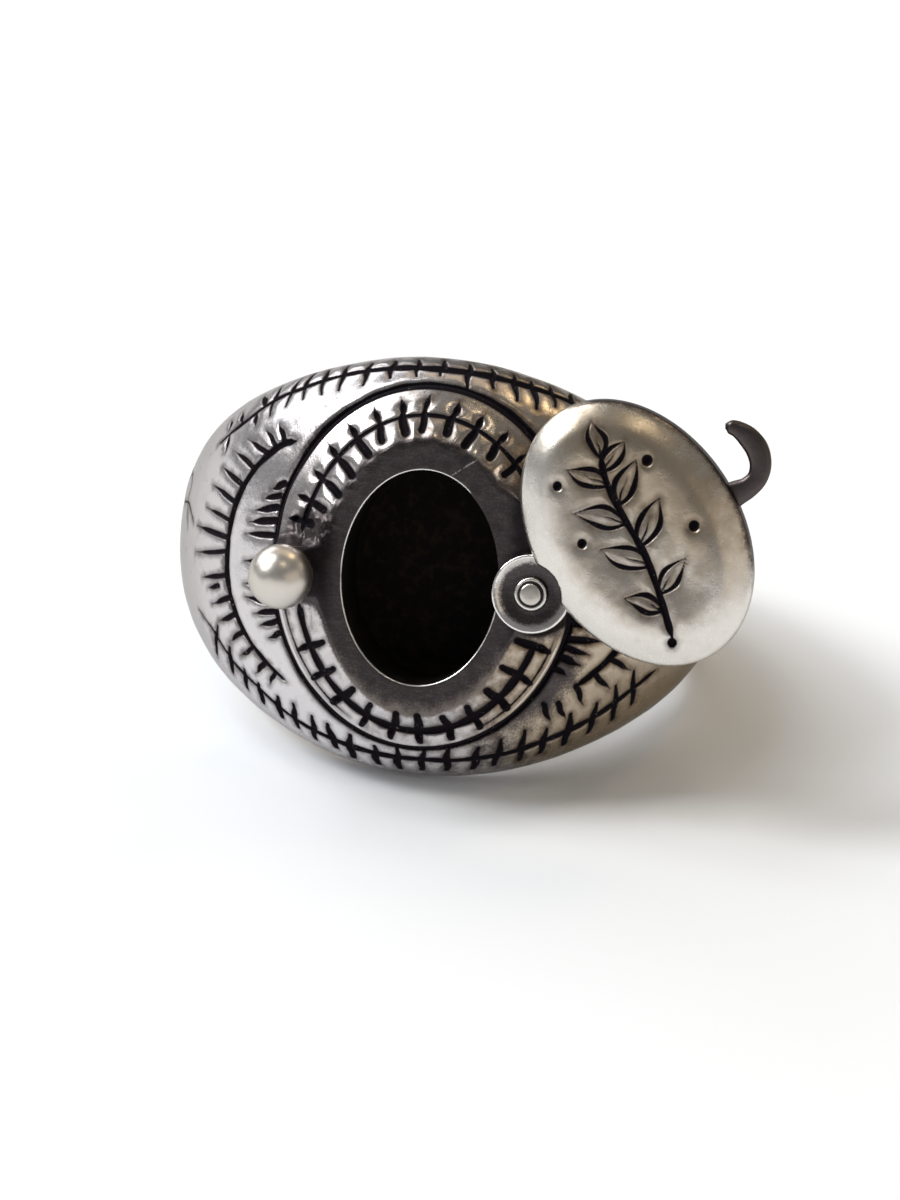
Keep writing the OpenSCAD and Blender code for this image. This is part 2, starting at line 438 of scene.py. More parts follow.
def from_lid(points: Points) -> Points:
    """Take points from the lid's frame to the stored frame in metres.

    Args:
        points: m towards the hook, n along the lid and h up, in millimetres from the rivet.

    Returns:
        x, y, z in metres.
    """
    return from_face(turned(points, LID.angle) + np.array([LID.rivet_u, LID.rivet_v, FACE.rim_w + LID.gap]))


# The engraver


@dataclass
class Stroke:
    """One cut: points along it, and its half width and depth at each, in millimetres."""

    points: Points
    half: np.ndarray
    depth: np.ndarray


class Engraver:
    """Measures where strokes cut a surface."""

    # Spacing of a stroke's points, and how many of them are measured at once
    STEP, CHUNK = 0.04, 12
    # Half the widest cut, the half width that soft_depth is given for, and a cut's slope in half widths
    WIDEST, USUAL, SLOPE = 0.3, 0.15, 1.3
    # Width of a line's thinned end, beside its middle
    THIN = 0.35

    def __init__(self, soft_r: float = 0.26, soft_depth: float = 0.06) -> None:
        """Start with no strokes.

        Args:
            soft_r: how far the metal is rounded off beside a cut, in millimetres.
            soft_depth: how much it is rounded off.
        """
        self.strokes: list[Stroke] = []
        self.soft_r, self.soft_depth = soft_r, soft_depth
        self.reach = self.WIDEST + 2 * soft_r

    def line(self, points: Points, half: np.ndarray | float, depth: float, taper: float = 0.35) -> None:
        """Add a long groove.

        Args:
            points: places along it.
            half: its half width, or one for each place.
            depth: how deep it is.
            taper: length of its thinning ends, in millimetres, or 0.
        """
        size = points.shape[1]
        both = np.concatenate([points, np.broadcast_to(half, len(points))[:, None]], 1)
        even = resample(both, self.STEP)
        run = np.arange(len(even)) * self.STEP
        end = np.minimum(run, run[-1] - run)
        unsteady = 1.0 + 0.1 * np.sin(run * 2.3 + even[:, 0]) + 0.07 * np.sin(run * 5.1)
        width = even[:, size] * unsteady
        if taper:
            width = width * (self.THIN + (1 - self.THIN) * ease(end, 0, taper))
        self.strokes.append(Stroke(even[:, :size], width, np.full(len(even), depth)))

    def tick(self, points: Points, width: Width, depth: float, tips: Tips, waist: float = 0.0) -> None:
        """Add a short cut.

        Args:
            points: places along it.
            width: its half width in the middle.
            depth: how deep it is.
            tips: the shape of its ends.
            waist: how much narrower it is where it crosses the groove.
        """
        even = resample(points, self.STEP, 10)
        s = np.linspace(0, 1, len(even))
        first, last, reach = tips.value
        swell = np.minimum(first + (1 - first) * ease(s, 0, reach), last + (1 - last) * ease(1 - s, 0, reach))
        swell = swell * (1 + 0.12 * math.sin(7.0 * even[0, 0] + 3.0 * even[-1, 1]))
        swell = swell * (1 - waist * np.exp(-(((s - 0.48) / 0.13) ** 2)))
        bend = 0.04 * np.sin(2.6 * s * math.pi + 5.0 * even[0, 1])
        even = even + np.stack([bend, *[np.zeros_like(bend)] * (even.shape[1] - 1)], -1)
        self.strokes.append(Stroke(even, width.value * swell, depth * (0.3 + 0.7 * np.minimum(swell, 1.0))))

    def measure(self, surface: Points) -> tuple[np.ndarray, np.ndarray]:
        """Measure the cuts at points of a surface.

        Args:
            surface: places in rows, of as many numbers as the strokes' points have.

        Returns:
            How far inside a cut each place lies (negative outside), and how deep it is cut, in millimetres.
        """
        flat = surface.reshape(-1, surface.shape[-1]).astype(np.float32)
        inside = np.full(len(flat), FAR_OUTSIDE, np.float32)
        dip = np.zeros(len(flat), np.float32)
        for stroke in self.strokes:
            for first in range(0, len(stroke.points), self.CHUNK):
                part = stroke.points[first:first + self.CHUNK].astype(np.float32)
                half = stroke.half[first:first + self.CHUNK].astype(np.float32)
                depth = stroke.depth[first:first + self.CHUNK].astype(np.float32)
                low, high = part.min(0) - self.reach, part.max(0) + self.reach
                near = np.flatnonzero(np.all((flat > low) & (flat < high), axis=1))
                if not len(near):
                    continue
                gap = np.linalg.norm(flat[near, None, :] - part[None], axis=2)
                inside[near] = np.maximum(inside[near], (half[None] - gap).max(1))
                share = np.clip(gap / (self.SLOPE * half[None]), 0, 1)
                cut = depth[None] * (1 - share**2) ** 2
                soft = self.soft_depth * (half[None] / self.USUAL) * np.exp(-((gap / self.soft_r) ** 2))
                dip[near] = np.maximum(dip[near], (cut + soft).max(1))
        return inside.reshape(surface.shape[:-1]), dip.reshape(surface.shape[:-1])


# Meshes from grids of points


@dataclass
class Skin:
    """Values at the points of a grid, which the finish reads by name.

    The cut is how far inside a cut a place is, in millimetres. The others are shares: dark polish and painted
    shade, bright worn edges and painted highlights, the compartment's near-black, wear of the dark polish,
    and brown tarnish with painted shade.
    """

    cut: np.ndarray | float = FAR_OUTSIDE
    dark: np.ndarray | float = 0.0
    shine: np.ndarray | float = 0.0
    pit: np.ndarray | float = 0.0
    wear: np.ndarray | float = 0.0
    tarnish_and_shade: np.ndarray | float = 0.0


# Points closer than this, in metres, are one: a grid's seam and its poles.
MERGE = 2e-8


def tarnish_and_shade(points: Points) -> np.ndarray:
    """Return the share of brown tarnish and painted shade: more on the right side, and most below it.

    Args:
        points: places in the ring's frame.

    Returns:
        Values from 0 to 1.
    """
    # Partly real tarnish, partly painted shade on the right and lower side
    right = ease(points[..., 0] + 0.25 * points[..., 1] + 2.0 * wobble(points, 0.25, 6.6), -2.0, 5.5)
    low = ease(-points[..., 1], -3.0, 6.0)
    return right * (0.75 + 0.20 * low)


def grid_piece(name: str, points: Points, skin: Skin, body: str, material: bpy.types.Material,
               wrap_rows: bool = False) -> bpy.types.Object:
    """Make a closed piece from a grid whose columns run round it.

    Args:
        name: the piece's name.
        points: rows by columns of places in metres.
        skin: the values for the finish, as grids or single numbers.
        body: the body that the piece rides on.
        material: the finish.
        wrap_rows: joins the last row to the first; otherwise both are poles.

    Returns:
        The new object.
    """
    def closed(grid: np.ndarray) -> np.ndarray:
        """Repeat the first column, and the first row where the rows wrap."""
        grid = np.concatenate([grid, grid[:, :1]], 1)
        return np.concatenate([grid, grid[:1]], 0) if wrap_rows else grid

    rows, cols = points.shape[:2]
    places = closed(points)
    mesh_rows, mesh_cols = places.shape[:2]
    bm = bmesh.new()
    bmesh.ops.create_grid(bm, x_segments=mesh_cols - 1, y_segments=mesh_rows - 1, size=1.0)
    for vert, place in zip(bm.verts, places.reshape(-1, 3).tolist()):
        vert.co = place
    for field in fields(Skin):
        layer = bm.verts.layers.float.new(field.name)
        values = closed(np.broadcast_to(np.asarray(getattr(skin, field.name), float), (rows, cols)))
        for vert, value in zip(bm.verts, values.ravel().tolist()):
            vert[layer] = value
    bmesh.ops.remove_doubles(bm, verts=bm.verts, dist=MERGE)
    bmesh.ops.recalc_face_normals(bm, faces=bm.faces)
    for face in bm.faces:
        face.smooth = True
    mesh = bpy.data.meshes.new(name)
    bm.to_mesh(mesh)
    bm.free()
    mesh.materials.append(material)
    piece = bpy.data.objects.new(name, mesh)
    bpy.context.collection.objects.link(piece)
    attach(piece, body)
    LOG.info("%s: %d rows by %d columns, %d faces", name, rows, cols, len(mesh.polygons))
    return piece


def lathe(profile: Sequence[Sequence[float]], steps: int) -> Points:
    """Turn a profile about the upright axis.

    Args:
        profile: radius and height of each row.
        steps: columns round.

    Returns:
        A grid of points.
    """
    table = np.asarray(profile, float)
    a = around(steps)
    r, h = table[:, :1], table[:, 1:2]
    return np.stack([r * np.cos(a), r * np.sin(a), np.repeat(h, steps, 1)], -1)


def grid_normals(points: Points) -> Points:
    """Work out a grid's normals, with its columns closed.

    Args:
        points: rows by columns of places.

    Returns:
        Unit normals, all to the same side.
    """
    along = np.roll(points, -1, 1) - np.roll(points, 1, 1)
    n = np.cross(along, np.gradient(points, axis=0))
    return n / np.maximum(np.linalg.norm(n, axis=-1, keepdims=True), 1e-12)


# Finishes


class Value:
    """A number socket of a shader, with arithmetic."""

    def __init__(self, graph: "Graph", socket: bpy.types.NodeSocket) -> None:
        """Wrap a socket.

        Args:
            graph: the graph that it belongs to.
            socket: the output socket.
        """
        self.graph, self.socket = graph, socket

    def __add__(self, other: "Value | float") -> "Value":
        """Add."""
        return self.graph.math("ADD", self, other)

    def __radd__(self, other: float) -> "Value":
        """Add from the right."""
        return self.graph.math("ADD", other, self)

    def __sub__(self, other: "Value | float") -> "Value":
        """Take away."""
        return self.graph.math("SUBTRACT", self, other)

    def __rsub__(self, other: float) -> "Value":
        """Take this away from a number."""
        return self.graph.math("SUBTRACT", other, self)

    def __mul__(self, other: "Value | float") -> "Value":
        """Multiply."""
        return self.graph.math("MULTIPLY", self, other)

    def __rmul__(self, other: float) -> "Value":
        """Multiply from the right."""
        return self.graph.math("MULTIPLY", other, self)

    def step(self, low: float, high: float) -> "Value":
        """Return a smooth step between two values, 0 at low and 1 at high."""
        node = self.graph.node("ShaderNodeMapRange", {"interpolation_type": "SMOOTHSTEP"},
                               {"Value": self, "From Min": low, "From Max": high})
        return Value(self.graph, node.outputs["Result"])


class Graph:
    """A material's node tree, built by calls."""

    def __init__(self, name: str) -> None:
        """Start a material with an empty tree.

        Args:
            name: the material's name.
        """
        self.material = bpy.data.materials.new(name)
        self.material.use_nodes = True
        self.tree = self.material.node_tree
        self.tree.nodes.clear()

    def node(self, kind: str, settings: dict[str, object], inputs: dict[str | int, object]) -> bpy.types.Node:
        """Add a node.

        Args:
            kind: the node's type.
            settings: its properties.
            inputs: what goes into its sockets: a Value, a socket or a constant.

        Returns:
            The node.
        """
        node = self.tree.nodes.new(kind)
        for key, value in settings.items():
            setattr(node, key, value)
        for key, value in inputs.items():
            source = value.socket if isinstance(value, Value) else value
            if isinstance(source, bpy.types.NodeSocket):
                self.tree.links.new(source, node.inputs[key])
            else:
                node.inputs[key].default_value = source
        return node

    def math(self, kind: str, a: Value | float, b: Value | float) -> Value:
        """Join two numbers.

        Args:
            kind: the operation.
            a: the first number.
            b: the second number.

        Returns:
            The result.
        """
        return Value(self, self.node("ShaderNodeMath", {"operation": kind}, {0: a, 1: b}).outputs[0])

    def attribute(self, name: str) -> Value:
        """Read a named value of the mesh.

        Args:
            name: its name.

        Returns:
            The value.
        """
        return Value(self, self.node("ShaderNodeAttribute", {"attribute_name": name}, {}).outputs["Fac"])

    def place(self, stretch: tuple[float, float, float], turn: float = 0.0) -> bpy.types.NodeSocket:
        """Return the place on the object, in millimetres times a stretch.

        Args:
            stretch: the scale along each axis.
            turn: a turn about Y first, in degrees.

        Returns:
            A vector socket.
        """
        coords = self.node("ShaderNodeTexCoord", {}, {})
        return self.node("ShaderNodeMapping", {"vector_type": "POINT"}, {
            "Vector": coords.outputs["Object"], "Rotation": (0.0, math.radians(turn), 0.0),
            "Scale": tuple(s / MM for s in stretch)}).outputs[0]

    def noise(self, place: bpy.types.NodeSocket, scale: float, detail: float, rough: float) -> Value:
        """Return soft noise.

        Args:
            place: where.
            scale: waves per millimetre.
            detail: octaves.
            rough: how strong the fine octaves are.

        Returns:
            Noise from 0 to 1.
        """
        return Value(self, self.node("ShaderNodeTexNoise", {}, {
            "Vector": place, "Scale": scale, "Detail": detail, "Roughness": rough}).outputs["Fac"])

    def blend(self, factor: Value, a: object, b: object) -> bpy.types.NodeSocket:
        """Mix two colours.

        Args:
            factor: 0 gives a, and 1 gives b.
            a: a colour or a colour socket.
            b: a colour or a colour socket.

        Returns:
            The mixed colour.
        """
        node = self.node("ShaderNodeMix", {"data_type": "RGBA"}, {"Factor": factor})
        for socket, value in ((node.inputs[6], a), (node.inputs[7], b)):
            if isinstance(value, bpy.types.NodeSocket):
                self.tree.links.new(value, socket)
            else:
                socket.default_value = (*value, 1.0)
        return node.outputs[2]

    def bump(self, height: Value, reach: float, below: bpy.types.NodeSocket | None) -> bpy.types.NodeSocket:
        """Turn a height into a normal.

        Args:
            height: the height, from 0 to 1.
            reach: what 1 stands for, in millimetres.
            below: the normal that it adds to, if there is one.

        Returns:
            The normal.
        """
        inputs: dict[str | int, object] = {"Strength": 1.0, "Distance": reach * MM, "Height": height}
        if below is not None:
            inputs["Normal"] = below
        return self.node("ShaderNodeBump", {}, inputs).outputs["Normal"]


@dataclass(frozen=True)
class MetalFinish:
    """How one piece's silver looks: colours, roughness, share of stains, and heights of its relief in mm."""

    name: str
    base: Colour
    stain: Colour
    rough: float
    stain_share: float
    dents: float
    grain: float
    scratches: float


class Tone(Enum):
    """Colours that all the pieces share."""

    LINE = (0.010, 0.008, 0.011)
    LINE_GLINT = (0.30, 0.295, 0.32)
    RIM = (0.058, 0.050, 0.053)
    RIM_WORN = (0.17, 0.145, 0.13)
    BROWN = (0.41, 0.33, 0.235)
    BROWN_DEEP = (0.14, 0.10, 0.066)
    PIT = (0.005, 0.0038, 0.0033)
    PIT_DUST = (0.016, 0.0105, 0.008)
    EDGE = (0.86, 0.84, 0.82)


# Name, base and stain colour; then roughness, share of stains, dents, grain and scratches.
BODY = MetalFinish("silver_body", (0.66, 0.635, 0.64), (0.21, 0.19, 0.19),
                   0.25, 0.60, 0.018, 0.0024, 0.0014)
FACE_FINISH = MetalFinish("silver_face", (0.65, 0.62, 0.62), (0.19, 0.17, 0.17),
                          0.24, 0.60, 0.014, 0.0024, 0.0014)
COVER = MetalFinish("silver_lid", (0.74, 0.71, 0.665), (0.32, 0.285, 0.27),
                    0.29, 0.30, 0.012, 0.0032, 0.0016)
BALL = MetalFinish("silver_ball", (0.64, 0.60, 0.55), (0.38, 0.32, 0.26),
                   0.32, 0.35, 0.006, 0.0012, 0.0016)
LUG_FINISH = MetalFinish("silver_lug", (0.58, 0.545, 0.52), (0.12, 0.104, 0.10),
                         0.20, 0.60, 0.012, 0.0026, 0.0015)
RIVET = MetalFinish("silver_rivet", (0.60, 0.565, 0.52), (0.25, 0.21, 0.18),
                    0.30, 0.60, 0.008, 0.0025, 0.0015)
HOOK_FINISH = MetalFinish("silver_hook", (0.088, 0.074, 0.072), (0.036, 0.029, 0.027),
                          0.34, 0.75, 0.012, 0.0034, 0.0018)


class Grain(Enum):
    """Noise in the metal: waves per millimetre, octaves, and how strong the fine octaves are."""

    LARGE = (0.30, 3.0, 0.5)
    MIDDLE = (1.9, 4.0, 0.6)
    FINE = (11.0, 3.0, 0.65)
    STREAKS = (1.0, 2.0, 0.5)


class Mask(Enum):
    """Where a tone shows: a value of the mesh, its middle and fine grain, and where it starts and is full."""

    LINE = ("cut", 0.0, 0.05, -0.03, 0.03)
    HALO = ("cut", 0.22, 0.0, -0.34, 0.03)
    POLISH_AND_SHADE = ("dark", 0.6, 0.8, 0.15, 0.75)
    BLACK = ("dark", 0.6, 0.0, 1.15, 1.75)
    WORN = ("wear", 0.8, 0.6, 0.25, 1.1)
    # Brown tarnish, with painted shade on the right and lower side
    BROWN = ("tarnish_and_shade", 0.7, 0.0, 0.10, 0.95)
    EDGE = ("shine", 0.6, 0.0, 0.30, 0.80)


# Stretch of the streaks along each axis, and their turn about Y in degrees.
STREAK_STRETCH, STREAK_TURN = (2.2, 1.0, 26.0), 24.0
# How many times higher the large dents are than the middle ones.
LARGE_DENTS = 4.0
# The silver's gloss and the tint of its grazing reflections.
SILVER_GLOSS, SILVER_TINT = 0.2, (0.55, 0.54, 0.53, 1.0)


def metal(finish: MetalFinish) -> bpy.types.Material:
    """Make an oxidised silver from a finish.

    Args:
        finish: its colours and strengths.

    Returns:
        The material.
    """
    g = Graph(finish.name)
    place = g.place((1.0, 1.0, 1.0))
    large, middle, fine = (g.noise(place, *grain.value) for grain in (Grain.LARGE, Grain.MIDDLE, Grain.FINE))
    streaks = g.noise(g.place(STREAK_STRETCH, STREAK_TURN), *Grain.STREAKS.value)

    def mask(kind: Mask) -> Value:
        """Make a mask with an uneven edge.

        Args:
            kind: which one.

        Returns:
            The mask, from 0 to 1.
        """
        name, middle_share, fine_share, low, high = kind.value
        value = g.attribute(name)
        for grain, share in ((middle, middle_share), (fine, fine_share)):
            value = value + (grain - 0.5) * share if share else value
        return value.step(low, high)

    line, halo, polish_and_shade, black, worn, brown, edge = (mask(kind) for kind in Mask)
    pit = g.attribute("pit")
    patches = (large * 0.55 + middle * 0.45).step(0.46, 0.66) * finish.stain_share
    stain = (patches * 0.7 + halo * 0.75).step(0.0, 1.2)
    rubbed = (fine * 0.45 + middle * 0.25 + streaks * 0.3).step(0.44, 0.66) * 0.42
    speck = fine.step(0.60, 0.80) * 0.24
    glint = (fine * 0.65 + middle * 0.35).step(0.60, 0.70) * 0.8

    colour = g.blend(stain, finish.base, finish.stain)
    # Brown tarnish, which also paints shade on the right and lower side
    colour = g.blend(brown * 0.9, colour, g.blend(stain, Tone.BROWN.value, Tone.BROWN_DEEP.value))
    colour = g.blend(speck, colour, finish.stain)
    # The dark tone of polish and painted shade, lighter where rubbed and worn
    polish_and_shade_tone = g.blend(rubbed + worn * 0.9, Tone.RIM.value, Tone.RIM_WORN.value)
    colour = g.blend(polish_and_shade, colour, g.blend(black * 0.8, polish_and_shade_tone, Tone.LINE.value))
    colour = g.blend(line, colour, g.blend(glint, Tone.LINE.value, Tone.LINE_GLINT.value))
    # Bright worn edges and painted highlights, from the mesh's shine value
    colour = g.blend(edge * 0.9, colour, Tone.EDGE.value)
    colour = g.blend(pit, colour, g.blend(middle.step(0.45, 0.7), Tone.PIT.value, Tone.PIT_DUST.value))

    rough = finish.rough + (fine - 0.5) * 0.12 + (middle - 0.5) * 0.10 + stain * 0.10
    rough = rough + polish_and_shade * 0.10 + line * 0.45 + pit * 0.45 - edge * 0.06
    metallic = 1.0 - line * 0.3 - pit * 0.95
    normal = None
    for height, reach in ((large, finish.dents * LARGE_DENTS), (middle, finish.dents), (fine, finish.grain),
                          (streaks, finish.scratches)):
        normal = g.bump(height, reach, normal)
    shader = g.node("ShaderNodeBsdfPrincipled", {}, {
        "Base Color": colour, "Roughness": rough, "Metallic": metallic, "Normal": normal,
        "Specular IOR Level": SILVER_GLOSS, "Specular Tint": SILVER_TINT})
    g.node("ShaderNodeOutputMaterial", {}, {"Surface": shader.outputs[0]})
    return g.material


# The ring's pieces


@dataclass
class BandHalf:
    """One half of the engraved band, from the face round to the back of the shank.

    Sizes are in millimetres and angles in degrees. The side is -1 for the half at the left of the face, and 1
    for the other.
    """

    side: int
    bore_r: float = 8.7
    belt: float = 5.2
    flare: float = 0.35
    flare_past: float = 0.5
    radius: float = 11.85
    offset: float = 1.7
    face_half: float = 8.85
    shank_half: float = 2.75
    taper: float = 4.5
    back_power: int = 4
    outline_full: float = 0.94
    width_full: float = 0.71
    height_full: float = 0.68
    edge_round: float = 0.28
    core_r: float = 9.15
    pole_rise: float = 0.22
    fine_to: float = 68.0
    fine_step: float = 0.30
    coarse_rows: int = 30
    coarse_power: float = 1.25
    outer_points: int = 346
    corner_points: int = 6
    inner_points: int = 20
    sharp_from: float = 60.0

    # The left half's ticks are repeated on the right, where the lid hides them: past this angle on the top
    # line, and above this section angle on the shoulder
    MIRROR_TOP, MIRROR_SHOULDER = -30, 74
    # Depths of the cuts
    LINE_DEPTH, SHOULDER_DEPTH, HAIR_DEPTH, OUTER_DEPTH = 0.11, 0.15, 0.04, 0.17
    # How much wider the groove round the medallion is at its top than at its foot
    OUTER_SWELL = 0.09
    TICK_POINTS = 12
    # Dark polish and painted shade beside the medallion's foot: how far out it reaches in shares of the foot,
    # how dark it is, and the upper left's share of that
    SOOT_REACH, SOOT, SOOT_LEFT = 1.30, 0.86, 0.55

    def __post_init__(self) -> None:
        """Work out the band's outline, seen along the finger."""
        s = np.radians(np.linspace(-180, 180, 3601))
        across = self.radius * signed_power(np.sin(s), self.outline_full)
        up = self.offset + self.radius * signed_power(np.cos(s), self.outline_full)
        self.angles, self.radii = np.degrees(np.unwrap(np.arctan2(across, up))), np.hypot(across, up)

    def sizes(self, theta: np.ndarray) -> tuple[np.ndarray, np.ndarray, np.ndarray, np.ndarray]:
        """Return the section's sizes at some angles.

        Args:
            theta: angles from the face in degrees.

        Returns:
            Rise over the finger hole, half width, and the roundness in width and in height.
        """
        half_cos = np.abs(np.cos(np.radians(theta) / 2))
        rise = np.interp(theta, self.angles, self.radii) - self.bore_r
        half = self.shank_half + (self.face_half - self.shank_half) * half_cos**self.taper
        back = 1 - half_cos**self.back_power
        return (rise, half, self.width_full + (1 - self.width_full) * back,
                self.height_full + (1 - self.height_full) * back)

    def outside(self, theta: np.ndarray, t: np.ndarray) -> Points:
        """Return points of the smooth outer surface.

        Args:
            theta: angles from the face in degrees.
            t: angles round the section in degrees, 90 at the crest.

        Returns:
            Places in the ring's frame.
        """
        rise, half, width_full, height_full = self.sizes(theta)
        a, b = np.radians(theta), np.radians(t)
        r = self.bore_r + rise * np.maximum(np.sin(b), 0) ** height_full
        return np.stack([r * np.sin(a), -half * signed_power(np.cos(b), width_full), r * np.cos(a)], -1)

    def bore(self, v: np.ndarray) -> np.ndarray:
        """Return the finger hole's radius at places along it."""
        belt, edge = self.belt / 2, self.face_half + self.flare_past
        return self.bore_r + self.flare * np.clip((np.abs(v) - belt) / (edge - belt), 0, 1)

    def rows(self) -> np.ndarray:
        """Work out the angles of the rows, close together where the engraving is.

        Returns:
            Angles from the face in degrees.
        """
        fine = np.arange(0, self.fine_to, self.fine_step)
        share = np.linspace(0, 1, self.coarse_rows) ** self.coarse_power
        coarse = self.fine_to + (180 - self.fine_to) * share
        return self.side * np.concatenate([fine, coarse])

    def grid(self) -> Points:
        """Lay out the smooth half.

        Returns:
            Rows of closed sections, in the ring's frame.
        """
        theta = self.rows()
        rise, half, _, height_full = self.sizes(theta)
        edge = self.edge_round
        first = np.degrees(np.arcsin(((self.bore(half) - self.bore_r + edge) / rise) ** (1 / height_full)))
        t = np.linspace(0, 180, 2001)
        face = self.outside(np.zeros_like(t), t)
        run = np.concatenate([[0], np.cumsum(np.linalg.norm(np.diff(face, axis=0), axis=1))])
        share = np.interp(np.linspace(0, run[-1], self.outer_points), run, t) / 180
        angles = first[:, None] + (180 - 2 * first[:, None]) * share[None]
        outer = self.outside(np.repeat(theta[:, None], self.outer_points, 1), angles)

        def ring_points(v: np.ndarray, r: np.ndarray) -> Points:
            """Place points by where they lie along the finger and their radius."""
            a = np.radians(theta)[:, None]
            return np.stack([r * np.sin(a), v, r * np.cos(a)], -1)

        def corner(end: Points, sign: int) -> Points:
            """Round the edge between the outside and the finger hole.

            Args:
                end: the last points of the outside.
                sign: -1 or 1, for the edge's side of the band.

            Returns:
                The points between.
            """
            f = (np.arange(1, self.corner_points + 1) / (self.corner_points + 1))[None]
            v0, r0 = end[:, 1:2], np.hypot(end[:, 0:1], end[:, 2:3])
            v1 = sign * (half[:, None] - edge)
            r1, rc, vc = self.bore(v1), self.bore(half[:, None]), sign * half[:, None]
            v = (1 - f) ** 2 * v0 + 2 * f * (1 - f) * vc + f**2 * v1
            r = (1 - f) ** 2 * r0 + 2 * f * (1 - f) * rc + f**2 * r1
            return ring_points(v, r)

        inner_v = np.linspace(1, -1, self.inner_points)[None] * (half[:, None] - edge)
        inner = ring_points(inner_v, self.bore(inner_v))
        return np.concatenate([outer, corner(outer[:, -1], 1), inner, corner(outer[:, 0], -1)[:, ::-1]], 1)

    def over(self, oval: Points) -> Points:
        """Lay points of the face plane down on the smooth outer surface.

        Args:
            oval: u, v on the face plane.

        Returns:
            Places in the ring's frame.
        """
        flat = turned(np.concatenate([oval, np.zeros((len(oval), 1))], 1), FACE.turn)
        u, v = flat[:, 0], flat[:, 1]
        theta = np.degrees(np.arctan2(u, self.radius))
        for _ in range(20):
            rise, half, width_full, height_full = self.sizes(theta)
            share = np.minimum(np.abs(v) / half, 1.0)
            r = self.bore_r + rise * (1 - share ** (2 / width_full)) ** (height_full / 2)
            theta = np.degrees(np.arcsin(np.clip(u / r, -1, 1)))
        return np.stack([u, v, r * np.cos(np.radians(theta))], -1)

    def engraver(self) -> Engraver:
        """Collect the cuts on this half, and the ones that reach over from the other.

        Returns:
            The engraver.
        """
        cutter = Engraver()

        def mirrored(rows: Iterable[Sequence[float]]) -> list[tuple[float, ...]]:
            """Return ticks of the left half at the right."""
            return [(-row[0], row[1], -row[2], row[3]) for row in rows]

        if self.side < 0:
            shoulder_line, shoulder = SHOULDER_LINE, SHOULDER_TICKS
            collar, hairlines = COLLAR_TICKS, HAIRLINES
        else:
            hidden = mirrored(row for row in SHOULDER_TICKS if row[1] > self.MIRROR_SHOULDER)
            shoulder_line, shoulder = SHOULDER_LINE_RIGHT, (*SHOULDER_TICKS_RIGHT, *hidden)
            collar, hairlines = mirrored(COLLAR_TICKS), ()
        for rows, depth in ((TOP_LINE, self.LINE_DEPTH), (BOTTOM_LINE, self.LINE_DEPTH),
                            (shoulder_line, self.SHOULDER_DEPTH)):
            table = spline(rows)
            cutter.line(self.outside(table[:, 0], table[:, 1]), table[:, 2], depth)
        edge = (*TOP_TICKS, *TOP_TICKS_RIGHT, *mirrored(row for row in TOP_TICKS if row[0] < self.MIRROR_TOP))
        for rows, width, tips, depth in ((edge, Width.TICK, Tips.SLIM, 0.12),
                                         ((*BOTTOM_TICKS, *BOTTOM_TICKS_RIGHT), Width.THICK, Tips.FULL, 0.12),
                                         (shoulder, Width.LINE, Tips.WEDGE, 0.08),
                                         (collar, Width.COLLAR, Tips.WEDGE, 0.09)):
            for row in rows:
                angle, section = (np.linspace(row[k], row[k + 2], self.TICK_POINTS) for k in (0, 1))
                cutter.tick(self.outside(angle, section), width, depth, tips)
        for rows in hairlines:
            table = spline(rows)
            cutter.line(self.outside(table[:, 0], table[:, 1]), Width.HAIR.value, self.HAIR_DEPTH)
        a = np.linspace(0, 2 * math.pi, 900)
        half = Width.LINE.value + self.OUTER_SWELL * ease(np.sin(a), 0.0, 0.9)
        cutter.line(self.over(OUTER_GROOVE.at(a)), half, self.OUTER_DEPTH, 0.0)
        return cutter

    def cap(self, section: Points) -> Points:
        """Close an end of the half, low enough to stay under the compartment.

        Args:
            section: the end's section.

        Returns:
            Two rows: the section held down to the core, and a pole.
        """
        held = self.held(section, 1.0)
        axis = np.array([section[:, 0].mean(), 0.0, section[:, 2].mean()])
        pole = axis / np.linalg.norm(axis) * (self.bore_r + self.pole_rise)
        return np.stack([held, np.broadcast_to(pole, held.shape)])

    def held(self, points: Points, share: np.ndarray | float) -> Points:
        """Pull points in towards the core.

        Args:
            points: places in the ring's frame.
            share: 0 leaves a point where it is, and 1 takes it in to the core.

        Returns:
            The moved points.
        """
        r = np.hypot(points[..., 0], points[..., 2])
        pull = 1 + share * (np.minimum(self.core_r / r, 1.0) - 1)
        return points * np.stack([pull, np.ones_like(pull), pull], -1)

    def foot_polish_and_shade(self, points: Points) -> np.ndarray:
        """Return the dark polish and painted shade beside the medallion's foot, most at its lower right.

        Args:
            points: places on the band, in the ring's frame.

        Returns:
            0 for bright silver, up to 1 for black.
        """
        flat = turned(points, -FACE.turn)
        u, v = flat[..., 0], flat[..., 1]
        ahead = ease(points[..., 2], 2.0, 6.0)
        beside = 1 - ease(FOOT.level(u, v), 1.02, self.SOOT_REACH)
        lower_right = ease(u, 1.0, 4.5) * ease(-v, 1.0, 4.0)
        upper_left = self.SOOT_LEFT * ease(-u, 2.0, 4.5) * ease(v, 1.0, 4.0)
        return ahead * beside * np.maximum(lower_right, upper_left) * (self.SOOT + Waves.SOOT.at(points))

